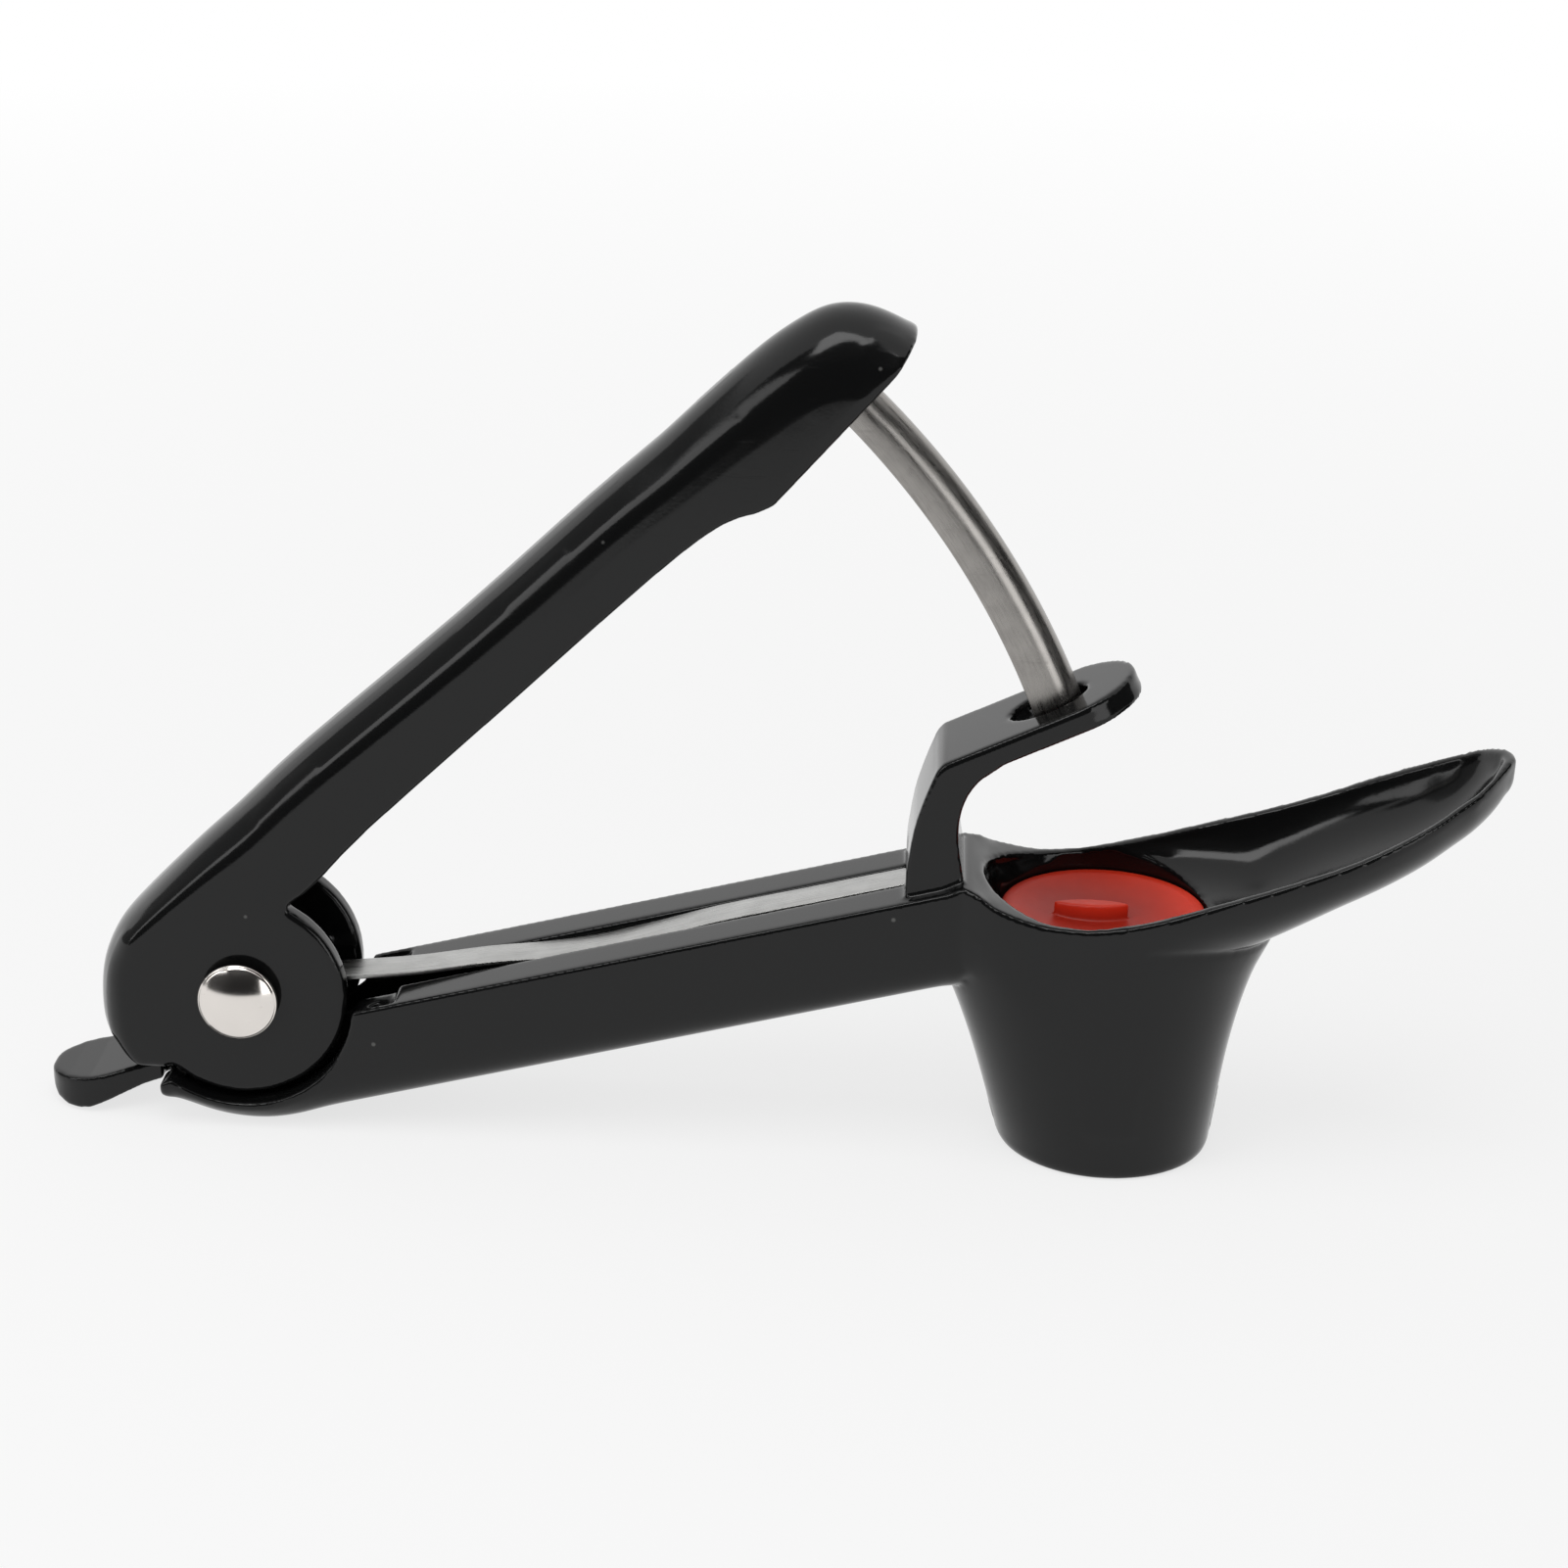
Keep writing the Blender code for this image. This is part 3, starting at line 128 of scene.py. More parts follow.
# Stage: half the floor's side, the distances between which it turns white, the lamps (width and
# height, place), the lamps' and cards' aims, and the cards that only reflections show (name, place,
# width and height, number of sides, strength)
FLOOR_REACH = 12.0
WHITE_FROM, WHITE_TO = 0.12, 0.75
OVERHEAD_LAMP = ((0.75, 0.75), (-0.12, -0.28, 0.95))
LEFT_LAMP = ((0.5, 0.42), (-0.62, -0.42, 0.33))
LAMP_AIM = Vector((0.0, 0.0, 0.04))
CARD_AIM = Vector((0.0, 0.0, 0.05))
REFLECTED_CARDS = (
    ("dark_front", (0.0, -0.34, 0.13), (1.4, 0.26), 4, 0.02),
    ("dark_high", (0.0, -0.62, 0.62), (2.4, 0.75), 4, 0.02),
    ("dark_left", (-0.85, 0.0, 0.33), (0.9, 0.6), 4, 0.25),
    ("dark_right", (0.85, -0.1, 0.33), (1.1, 0.7), 4, 0.06),
    ("bright_octagon", (-0.12, -0.46, 0.80), (0.72, 0.56), 8, 4.5),
    ("bright_right", (0.225, -0.27, 0.09), (0.17, 0.18), 4, 2.2),
)

# Camera: focal length and picture width in pixels, its turn, lift and roll in radians, the point
# that it looks at, measured from the hinge, and its distance from that point
FOCAL_PIXELS, PICTURE_PIXELS = 3591.376, 1601.0
CAMERA_TURN, CAMERA_LIFT, CAMERA_ROLL = 0.0340289, 0.364058, 0.0276751
CAMERA_TARGET = Vector((0.0643635, 0.0, 0.0272067))
CAMERA_DISTANCE = 0.417238
SENSOR_WIDTH, CLIP_START = 36.0, 0.01


# ---------------- settings


class PitterMouldings(PropertyGroup):
    colour: FloatVectorProperty(
        name="Plastic colour", description="Base colour of the black mouldings",
        subtype="COLOR", default=(0.0050, 0.0052, 0.0053), min=0.0, max=1.0)
    roughness: FloatProperty(
        name="Roughness", description="Roughness of the glossy plastic",
        default=0.10, min=0.0, max=1.0, subtype="FACTOR")
    body_cell: FloatProperty(
        name="Body cell", description="Cell size of the body's even mesh",
        default=0.00028, min=0.0002, max=0.002, unit="LENGTH", precision=5)
    lever_cell: FloatProperty(
        name="Lever cell", description="Cell size of the lever's even mesh",
        default=0.00028, min=0.0002, max=0.002, unit="LENGTH", precision=5)
    latch_cell: FloatProperty(
        name="Latch cell", description="Cell size of the latch's even mesh",
        default=0.0002, min=0.0001, max=0.002, unit="LENGTH", precision=5)
    edge_passes: IntProperty(
        name="Edge passes", description="Smoothing passes that round the edges",
        default=6, min=0, max=50)
    face_passes: IntProperty(
        name="Face passes", description="Smoothing passes on the curved faces between edges",
        default=110, min=0, max=200)
    edge_reach: FloatProperty(
        name="Edge reach", description="Width beside an edge that only the edge passes smooth",
        default=0.0011, min=0.0, max=0.01, unit="LENGTH", precision=5)


class PitterSteel(PropertyGroup):
    plunger_colour: FloatVectorProperty(
        name="Plunger colour", description="Colour of the plunger's brushed steel",
        subtype="COLOR", default=(0.34, 0.325, 0.308), min=0.0, max=1.0)
    spring_colour: FloatVectorProperty(
        name="Spring colour", description="Colour of the leaf springs' steel",
        subtype="COLOR", default=(0.46, 0.46, 0.45), min=0.0, max=1.0)
    rivet_colour: FloatVectorProperty(
        name="Rivet colour", description="Colour of the polished rivet",
        subtype="COLOR", default=(0.80, 0.76, 0.72), min=0.0, max=1.0)
    swing: FloatProperty(
        name="Swing", description="Distance of the plunger's open side from the hinge",
        default=0.1008, min=0.05, max=0.2, unit="LENGTH", precision=4)
    width: FloatProperty(
        name="Plunger width", description="Width across the plunger's channel",
        default=0.0056, min=0.002, max=0.01, unit="LENGTH", precision=4)
    sheet: FloatProperty(
        name="Sheet", description="Thickness of the plunger's sheet steel",
        default=0.0008, min=0.0003, max=0.002, unit="LENGTH", precision=4)
    tip_depth: FloatProperty(
        name="Tip depth", description="Depth of the channel at the plunger's tip",
        default=0.0059, min=0.002, max=0.02, unit="LENGTH", precision=4)
    root_depth: FloatProperty(
        name="Root depth", description="Depth of the channel at the plunger's root",
        default=0.0049, min=0.002, max=0.02, unit="LENGTH", precision=4)


class PitterSeat(PropertyGroup):
    colour: FloatVectorProperty(
        name="Silicone colour", description="Base colour of the silicone seat",
        subtype="COLOR", default=(0.80, 0.042, 0.014), min=0.0, max=1.0)
    cell: FloatProperty(
        name="Seat cell", description="Cell size of the seat's even mesh",
        default=0.00016, min=0.0001, max=0.001, unit="LENGTH", precision=5)
    dish_depth: FloatProperty(
        name="Dish depth", description="Depth of the dish below the seat's rim",
        default=0.0015, min=0.0, max=0.003, unit="LENGTH", precision=5)
    slit_reach: FloatProperty(
        name="Slit reach", description="Half length of the raised slit",
        default=0.0045, min=0.001, max=0.006, unit="LENGTH", precision=5)


class PitterStage(PropertyGroup):
    floor_colour: FloatVectorProperty(
        name="Floor colour", description="Colour of the pale floor",
        subtype="COLOR", default=(0.9, 0.9, 0.9), min=0.0, max=1.0)
    soft_light: FloatProperty(
        name="Soft light", description="Strength of the overhead soft light",
        default=3.4, min=0.0, max=200.0, subtype="POWER")
    fill_light: FloatProperty(
        name="Fill light", description="Strength of the side light",
        default=1.5, min=0.0, max=200.0, subtype="POWER")
    sky: FloatProperty(
        name="Sky", description="Strength of the even light from all round",
        default=0.45, min=0.0, max=5.0)
    floor_white: FloatProperty(
        name="Floor white", description="Share of plain white in the floor as it is seen",
        default=0.74, min=0.0, max=1.0, subtype="FACTOR")


# ---------------- node helpers


def add(tree, kind, inputs=None, **settings):
    """Add a node, set its properties, then set or link its inputs by name or number."""
    node = tree.nodes.new(kind)
    for key, value in settings.items():
        setattr(node, key, value)
    for key, value in (inputs or {}).items():
        socket = node.inputs[key]
        if isinstance(value, bpy.types.NodeSocket):
            tree.links.new(value, socket)
        else:
            socket.default_value = value
    return node


def math_node(tree, operation, a, b=0.0):
    """The result of an operation on one or two values."""
    return add(tree, "ShaderNodeMath", {0: a, 1: b}, operation=operation).outputs[0]


def remap(tree, value, low, high, to_low, to_high):
    """The value moved from one range to another, kept inside it."""
    return add(tree, "ShaderNodeMapRange",
               {"Value": value, "From Min": low, "From Max": high, "To Min": to_low,
                "To Max": to_high}).outputs["Result"]


def object_place(tree):
    """A surface point's place in its object's own coordinates."""
    return add(tree, "ShaderNodeTexCoord").outputs["Object"]


def mixed_colour(tree, factor, a, b, blend="MIX"):
    """Two colours mixed by a factor."""
    return add(tree, "ShaderNodeMix", {"Factor": factor, "A": a, "B": b}, data_type="RGBA",
               blend_type=blend).outputs["Result"]


def new_group(name, inputs, outputs):
    """A shader node group with these sockets, and its input and output nodes."""
    tree = bpy.data.node_groups.new(name, "ShaderNodeTree")
    for side, sockets in (("INPUT", inputs), ("OUTPUT", outputs)):
        for label, kind in sockets:
            tree.interface.new_socket(label, in_out=side, socket_type=kind)
    return tree, add(tree, "NodeGroupInput"), add(tree, "NodeGroupOutput")


def handling_marks_group():
    """Fine scratches, smudges and dust: a roughness offset, a height and a dust mask."""
    name = "handling_marks"
    if name in bpy.data.node_groups:
        return bpy.data.node_groups[name]
    tree, start, end = new_group(
        name,
        [("Grain Size", "NodeSocketFloat"), ("Smudge", "NodeSocketFloat"),
         ("Scratch", "NodeSocketFloat"), ("Dust", "NodeSocketFloat")],
        [("Roughness Offset", "NodeSocketFloat"), ("Height", "NodeSocketFloat"),
         ("Dust Mask", "NodeSocketFloat")])
    place = object_place(tree)
    smudge = add(tree, "ShaderNodeTexNoise",
                 {"Vector": place, "Scale": 60.0, "Detail": 4.0, "Roughness": 0.6}).outputs[0]
    smudge = remap(tree, smudge, 0.35, 0.7, 0.0, 1.0)
    turn = add(tree, "ShaderNodeMapping",
               {"Vector": place, "Rotation": (0.5, 0.35, 0.9), "Scale": (60.0, 900.0, 900.0)})
    streak = add(tree, "ShaderNodeTexNoise",
                 {"Vector": turn.outputs[0], "Scale": 2.0, "Detail": 2.0}).outputs[0]
    streak = remap(tree, streak, 0.66, 0.72, 0.0, 1.0)
    grain = add(tree, "ShaderNodeTexNoise",
                {"Vector": place, "Scale": start.outputs["Grain Size"], "Detail": 2.0}).outputs[0]
    speck = add(tree, "ShaderNodeTexVoronoi", {"Vector": place, "Scale": 260.0}, feature="F1")
    near = remap(tree, speck.outputs["Distance"], 0.05, 0.09, 1.0, 0.0)
    pick = remap(tree, add(tree, "ShaderNodeSeparateColor",
                           {0: speck.outputs["Color"]}).outputs[0], 0.955, 0.96, 0.0, 1.0)
    dust = math_node(tree, "MULTIPLY", near, pick)
    dust = math_node(tree, "MULTIPLY", dust, start.outputs["Dust"])
    rough = math_node(tree, "MULTIPLY", smudge, start.outputs["Smudge"])
    marks = math_node(tree, "MULTIPLY", streak, start.outputs["Scratch"])
    rough = math_node(tree, "ADD", rough, marks)
    height = math_node(tree, "SUBTRACT", grain, math_node(tree, "MULTIPLY", marks, 2.0))
    height = math_node(tree, "ADD", height, dust)
    tree.links.new(rough, end.inputs["Roughness Offset"])
    tree.links.new(height, end.inputs["Height"])
    tree.links.new(dust, end.inputs["Dust Mask"])
    return tree


def brushed_lines_group():
    """Fine parallel lines along one direction of the given coordinates."""
    name = "brushed_lines"
    if name in bpy.data.node_groups:
        return bpy.data.node_groups[name]
    tree, start, end = new_group(
        name,
        [("Vector", "NodeSocketVector"), ("Stretch", "NodeSocketVector")],
        [("Lines", "NodeSocketFloat"), ("Blotch", "NodeSocketFloat")])
    scaled = add(tree, "ShaderNodeVectorMath",
                 {0: start.outputs["Vector"], 1: start.outputs["Stretch"]}, operation="MULTIPLY")
    lines = add(tree, "ShaderNodeTexNoise",
                {"Vector": scaled.outputs[0], "Scale": 1.0, "Detail": 3.0, "Roughness": 0.65})
    blotch = add(tree, "ShaderNodeTexNoise",
                 {"Vector": start.outputs["Vector"], "Scale": 420.0, "Detail": 3.0})
    tree.links.new(lines.outputs[0], end.inputs["Lines"])
    tree.links.new(blotch.outputs[0], end.inputs["Blotch"])
    return tree


def blank_material(name):
    """A new material, its node tree and its main shader."""
    material = bpy.data.materials.new(name)
    material.use_nodes = True
    tree = material.node_tree
    return material, tree, tree.nodes["Principled BSDF"]


def surface(tree, shader, colour, rough, height, strength, distance):
    """Link a shader's colour and roughness, and a height as its bump."""
    bump = add(tree, "ShaderNodeBump",
               {"Strength": strength, "Distance": distance, "Height": height})
    tree.links.new(colour, shader.inputs["Base Color"])
    tree.links.new(rough, shader.inputs["Roughness"])
    tree.links.new(bump.outputs[0], shader.inputs["Normal"])


def use_group(tree, group, inputs):
    """A node that runs a group with these inputs."""
    return add(tree, "ShaderNodeGroup", inputs, node_tree=group)


def grey(tree, value):
    """A colour with this value in all three channels."""
    return add(tree, "ShaderNodeCombineColor", {0: value, 1: value, 2: value}).outputs[0]


def black_plastic(settings):
    """Glossy injection-moulded black plastic with faint smudges, hairlines and dust."""
    name = "glossy_black_moulding"
    if name in bpy.data.materials:
        return bpy.data.materials[name]
    material, tree, shader = blank_material(name)
    marks = use_group(tree, handling_marks_group(),
                      {"Grain Size": 2600.0, "Smudge": 0.05, "Scratch": 0.06, "Dust": 1.0})
    rough = math_node(tree, "ADD", marks.outputs["Roughness Offset"], settings.roughness)
    dust = math_node(tree, "MULTIPLY", marks.outputs["Dust Mask"], 0.35)
    colour = mixed_colour(tree, dust, (*settings.colour, 1.0), (0.25, 0.25, 0.24, 1.0))
    surface(tree, shader, colour, rough, marks.outputs["Height"], 0.035, 0.0001)
    shader.inputs["Specular IOR Level"].default_value = 0.32
    return material


def swing_coordinates(tree, place):
    """Length along the swing about the hinge, Y, and distance from the hinge."""
    from_hinge = add(tree, "ShaderNodeVectorMath", {0: place, 1: tuple(HINGE)},
                     operation="SUBTRACT").outputs[0]
    x, y, z = add(tree, "ShaderNodeSeparateXYZ", {0: from_hinge}).outputs
    reach = math_node(tree, "SQRT", math_node(tree, "ADD", math_node(tree, "MULTIPLY", x, x),
                                              math_node(tree, "MULTIPLY", z, z)))
    along = math_node(tree, "MULTIPLY", math_node(tree, "ARCTAN2", z, x), BRUSHING_RADIUS)
    return add(tree, "ShaderNodeCombineXYZ", {0: along, 1: y, 2: reach}).outputs[0]


def steel(name, colour, roughness, stretch, line_depth, swung=False):
    """Brushed stainless steel; a swung piece is brushed along its swing about the hinge."""
    material, tree, shader = blank_material(name)
    place = object_place(tree)
    if swung:
        place = swing_coordinates(tree, place)
    lines = use_group(tree, brushed_lines_group(), {"Vector": place, "Stretch": stretch})
    marks = use_group(tree, handling_marks_group(),
                      {"Grain Size": 5000.0, "Smudge": 0.08, "Scratch": 0.08, "Dust": 0.2})
    tone = math_node(tree, "ADD", remap(tree, lines.outputs["Lines"], 0.3, 0.7, 0.78, 1.1),
                     remap(tree, lines.outputs["Blotch"], 0.3, 0.7, -0.07, 0.07))
    toned = mixed_colour(tree, 1.0, (*colour, 1.0), grey(tree, tone), "MULTIPLY")
    rough = math_node(tree, "ADD", marks.outputs["Roughness Offset"],
                      remap(tree, lines.outputs["Lines"], 0.3, 0.7, roughness - 0.06,
                            roughness + 0.08))
    surface(tree, shader, toned, rough, lines.outputs["Lines"], line_depth, 0.00005)
    shader.inputs["Metallic"].default_value = 1.0
    return material


def polished_nickel(settings):
    """Polished nickel with a faint haze and a few hairlines."""
    material, tree, shader = blank_material("polished_nickel")
    marks = use_group(tree, handling_marks_group(),
                      {"Grain Size": 3000.0, "Smudge": 0.10, "Scratch": 0.12, "Dust": 0.4})
    rough = math_node(tree, "ADD", marks.outputs["Roughness Offset"], 0.13)
    haze = add(tree, "ShaderNodeTexNoise",
               {"Vector": object_place(tree), "Scale": 300.0, "Detail": 3.0})
    tint = mixed_colour(tree, haze.outputs[0], (*settings.rivet_colour, 1.0),
                        (*[c * 0.93 for c in settings.rivet_colour], 1.0))
    surface(tree, shader, tint, rough, marks.outputs["Height"], 0.05, 0.00005)
    shader.inputs["Metallic"].default_value = 1.0
    return material


def red_silicone(settings):
    """Satin red silicone, with painted shade that darkens it towards the bottom of the dish."""
    material, tree, shader = blank_material("satin_red_silicone")
    place = object_place(tree)
    cloud = add(tree, "ShaderNodeTexNoise",
                {"Vector": place, "Scale": 220.0, "Detail": 4.0, "Roughness": 0.6})
    red, green, blue = settings.colour
    tint = mixed_colour(tree, remap(tree, cloud.outputs[0], 0.35, 0.7, 0.0, 1.0),
                        (red, green, blue, 1.0), (red * 0.86, green * 0.8, blue * 0.8, 1.0))
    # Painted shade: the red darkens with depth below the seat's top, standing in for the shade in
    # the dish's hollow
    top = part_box("cherry_seat")[1].z
    height = add(tree, "ShaderNodeSeparateXYZ", {0: place}).outputs["Z"]
    depth = remap(tree, height, top - settings.dish_depth, top, 0.85, 0.0)
    shaded = mixed_colour(tree, depth, tint, (red * 0.42, green * 0.4, blue * 0.5, 1.0))
    marks = use_group(tree, handling_marks_group(),
                      {"Grain Size": 3500.0, "Smudge": 0.12, "Scratch": 0.0, "Dust": 0.5})
    rough = math_node(tree, "ADD", marks.outputs["Roughness Offset"], 0.38)
    surface(tree, shader, shaded, rough, marks.outputs["Height"], 0.12, 0.0001)
    shader.inputs["Subsurface Weight"].default_value = 0.12
    shader.inputs["Subsurface Radius"].default_value = (0.002, 0.0006, 0.0004)
    shader.inputs["Specular IOR Level"].default_value = 0.3
    return material


# ---------------- mesh helpers


def link_mesh(name, mesh):
    """A mesh as an object in the scene."""
    obj = bpy.data.objects.new(name, mesh)
    bpy.context.scene.collection.objects.link(obj)
    return obj


def evaluated_mesh(obj):
    """An object's mesh with its modifiers applied."""
    graph = bpy.context.evaluated_depsgraph_get()
    return bpy.data.meshes.new_from_object(obj.evaluated_get(graph))


def shade(mesh, smooth=True):
    """Shade all of a mesh's faces smooth or flat."""
    for polygon in mesh.polygons:
        polygon.use_smooth = smooth


def point_tree(points):
    """A search tree of these points."""
    tree = KDTree(len(points))
    for i, point in enumerate(points):
        tree.insert(point, i)
    tree.balance()
    return tree


def merged_solid(node):
    """The node's solid as a bmesh with its doubled corners merged."""
    work = bmesh.new()
    work.from_mesh(NODES[node].data)
    bmesh.ops.remove_doubles(work, verts=work.verts, dist=SOLID_MERGE)
    bmesh.ops.triangulate(work, faces=work.faces)
    work.normal_update()
    return work


def even_mesh(name, work, cell):
    """The closed surface as an even mesh of square cells."""
    mesh = bpy.data.meshes.new(name)
    work.to_mesh(mesh)
    obj = link_mesh(name, mesh)
    remesh = obj.modifiers.new("even", "REMESH")
    remesh.mode = "VOXEL"
    remesh.voxel_size = cell
    remesh.use_smooth_shade = True
    result = evaluated_mesh(obj)
    bpy.data.objects.remove(obj, do_unlink=True)
    return result


def inside(point, zones):
    """Whether a point is in one of the zones, each given by its low and high X, |Y| and Z."""
    return any(z[0] < point.x < z[1] and z[2] < abs(point.y) < z[3] and z[4] < point.z < z[5]
               for z in zones)


def edge_samples(work, angle, soft_zones=()):
    """Points along the edges that turn by more than the angle, outside the soft zones."""
    points = []
    for edge in work.edges:
        if len(edge.link_faces) != 2 or edge.calc_face_angle(0.0) < angle:
            continue
        a, b = edge.verts[0].co, edge.verts[1].co
        if inside((a + b) / 2, soft_zones):
            continue
        count = max(1, int((b - a).length / EDGE_SPACING))
        points.extend(a.lerp(b, i / count) for i in range(count + 1))
    return point_tree(points)


def flat_faces(work):
    """Indexes of the faces that are part of a large flat."""
    seen, flat = set(), set()
    for face in work.faces:
        if face.index in seen:
            continue
        normal = face.normal
        stack, members, area = [face], [], 0.0
        seen.add(face.index)
        while stack:
            f = stack.pop()
            members.append(f.index)
            area += f.calc_area()
            for edge in f.edges:
                for other in edge.link_faces:
                    level = other.normal.dot(normal) > LEAST_FLAT_COSINE
                    if level and other.index not in seen:
                        seen.add(other.index)
                        stack.append(other)
        if area >= LEAST_FLAT_AREA:
            flat.update(members)
    return flat


def smoothed(mesh, passes):
    """Corners moved halfway to their neighbours' middle, as many times as passes gives each."""
    count = len(mesh.vertices)
    co = np.empty(count * 3)
    mesh.vertices.foreach_get("co", co)
    co = co.reshape(-1, 3)
    ends = np.empty(len(mesh.edges) * 2, dtype=np.int64)
    mesh.edges.foreach_get("vertices", ends)
    a, b = ends.reshape(-1, 2).T
    degree = np.bincount(a, minlength=count) + np.bincount(b, minlength=count)
    degree = np.maximum(degree, 1)
    for i in range(math.ceil(passes.max())):
        move = np.clip(passes - i, 0.0, 1.0)[:, None] * 0.5
        mean = np.empty_like(co)
        for axis in range(3):
            total = np.bincount(a, weights=co[b, axis], minlength=count)
            total += np.bincount(b, weights=co[a, axis], minlength=count)
            mean[:, axis] = total / degree
        co += (mean - co) * move
    return co


def lightened(name, mesh):
    """An object of a mesh thinned to fewer triangles that keep the full mesh's shading."""
    mesh.name = name
    shade(mesh)
    full = point_tree([vertex.co for vertex in mesh.vertices])
    normals = np.empty(len(mesh.vertices) * 3)
    mesh.vertices.foreach_get("normal", normals)
    normals = normals.reshape(-1, 3)
    obj = link_mesh(name, mesh)
    count = 2 * len(mesh.polygons)
    if count > MOST_TRIANGLES:
        thin = obj.modifiers.new("thin", "DECIMATE")
        thin.ratio = MOST_TRIANGLES / count
        thin.use_collapse_triangulate = True
    result = evaluated_mesh(obj)
    obj.modifiers.clear()
    obj.data = result
    bpy.data.meshes.remove(mesh)
    result.name = name
    shade(result)
    # The nearer a normal of the full mesh, the heavier it weighs
    shaded = np.zeros((len(result.vertices), 3))
    for i, vertex in enumerate(result.vertices):
        for _, index, gap in full.find_n(vertex.co, NORMALS_TAKEN):
            shaded[i] += normals[index] / (gap + NORMALS_GAP)
    shaded /= np.linalg.norm(shaded, axis=1)[:, None]
    result.normals_split_custom_set_from_vertices([tuple(n) for n in shaded])
    return obj


def moulded_copy(name, node, cell, edge_passes, face_passes, reach, edge_angle=EDGE_ANGLE,
                 soft_zones=()):
    """A moulding's solid as a fine even mesh: rounded edges, smooth curves and true flats."""
    work = merged_solid(node)
    mesh = even_mesh(name, work, cell)
    edges = edge_samples(work, math.radians(edge_angle), soft_zones)
    creases = edge_samples(work, math.radians(CREASE_ANGLE))
    tree = BVHTree.FromBMesh(work)
    on_flat = flat_faces(work)
    normals = [f.normal.copy() for f in work.faces]
    count = len(mesh.vertices)
    distance = np.empty(count)
    crease_distance = np.empty(count)
    soft = np.zeros(count)
    flat_normal = np.zeros((count, 3))
    flat_point = np.zeros((count, 3))
    flat = np.zeros(count)
    for i, vertex in enumerate(mesh.vertices):
        distance[i] = edges.find(vertex.co)[2]
        crease_distance[i] = creases.find(vertex.co)[2]
        soft[i] = inside(vertex.co, soft_zones)
        point, _, index, _ = tree.find_nearest(vertex.co)
        if index in on_flat:
            flat_normal[i] = normals[index]
            flat_point[i] = point
            flat[i] = 1.0
    # Few passes beside an edge, more away from it and the most in a soft zone
    share = np.clip((distance - 0.6 * reach) / (0.8 * reach), 0.0, 1.0)
    passes = edge_passes + (face_passes - edge_passes) * share * share
    passes = np.where(soft > 0.5, np.maximum(passes, BLEND_PASSES * share), passes)
    co = smoothed(mesh, passes)
    # Back onto the solid's flats, except beside a crease or in a soft zone
    hold = np.clip((crease_distance - 0.5 * reach) / reach, 0.0, 1.0)
    hold = flat * (1.0 - soft) * hold * hold * (3.0 - 2.0 * hold)
    offset = np.einsum("ij,ij->i", flat_point - co, flat_normal) * hold
    co += flat_normal * offset[:, None]
    mesh.vertices.foreach_set("co", co.ravel())
    mesh.update()
    work.free()
    return lightened(name, mesh)


def mesh_from(name, points, faces, smooth=True):
    """A mesh of these points and faces with doubled points merged and normals outward."""
    mesh = bpy.data.meshes.new(name)
    mesh.from_pydata([tuple(p) for p in points], [], faces)
    work = bmesh.new()
    work.from_mesh(mesh)
    bmesh.ops.remove_doubles(work, verts=work.verts, dist=MESH_MERGE)
    bmesh.ops.recalc_face_normals(work, faces=work.faces)
    work.to_mesh(mesh)
    work.free()
    shade(mesh, smooth)
    return mesh


def lathe(name, profile, centre, across=False, steps=128):
    """Closed turned solid from (radius, height) points; across turns its axis to -Y."""
    points, faces = [], []
    for radius, height in profile:
        for j in range(steps):
            angle = 2 * math.pi * j / steps
            a, b = radius * math.cos(angle), radius * math.sin(angle)
            local = Vector((a, -height, b)) if across else Vector((a, b, height))
            points.append(centre + local)
    for i in range(len(profile) - 1):
        for j in range(steps):
            k = (j + 1) % steps
            faces.append((i * steps + j, i * steps + k, (i + 1) * steps + k, (i + 1) * steps + j))
    return mesh_from(name, points, faces)


def rounded_corners(points, radius, steps=5):
    """The open polyline with each inner corner replaced by a small curve."""
    result = [points[0]]
    for before, corner, after in zip(points, points[1:], points[2:]):
        c = Vector(corner)
        to_a, to_b = Vector(before) - c, Vector(after) - c
        r = min(radius, to_a.length * 0.48, to_b.length * 0.48)
        a, b = c + to_a.normalized() * r, c + to_b.normalized() * r
        for i in range(steps + 1):
            t = i / steps
            result.append(tuple(a * (1 - t) ** 2 + c * 2 * t * (1 - t) + b * t * t))
    result.append(points[-1])
    return result


def finish_piece(obj, material, body, nodes):
    """Give a piece its material and slot, hide the nodes it stands for and attach it to the body it
    rides on.
    """
    obj.data.materials.clear()
    obj.data.materials.append(material)
    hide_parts(*nodes)
    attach(obj, body)


def scene_settings():
    """The four groups of settings: mouldings, steel, seat and stage."""
    scene = bpy.context.scene
    return scene.pitter_mouldings, scene.pitter_steel, scene.pitter_seat, scene.pitter_stage


# ---------------- geometry nodes


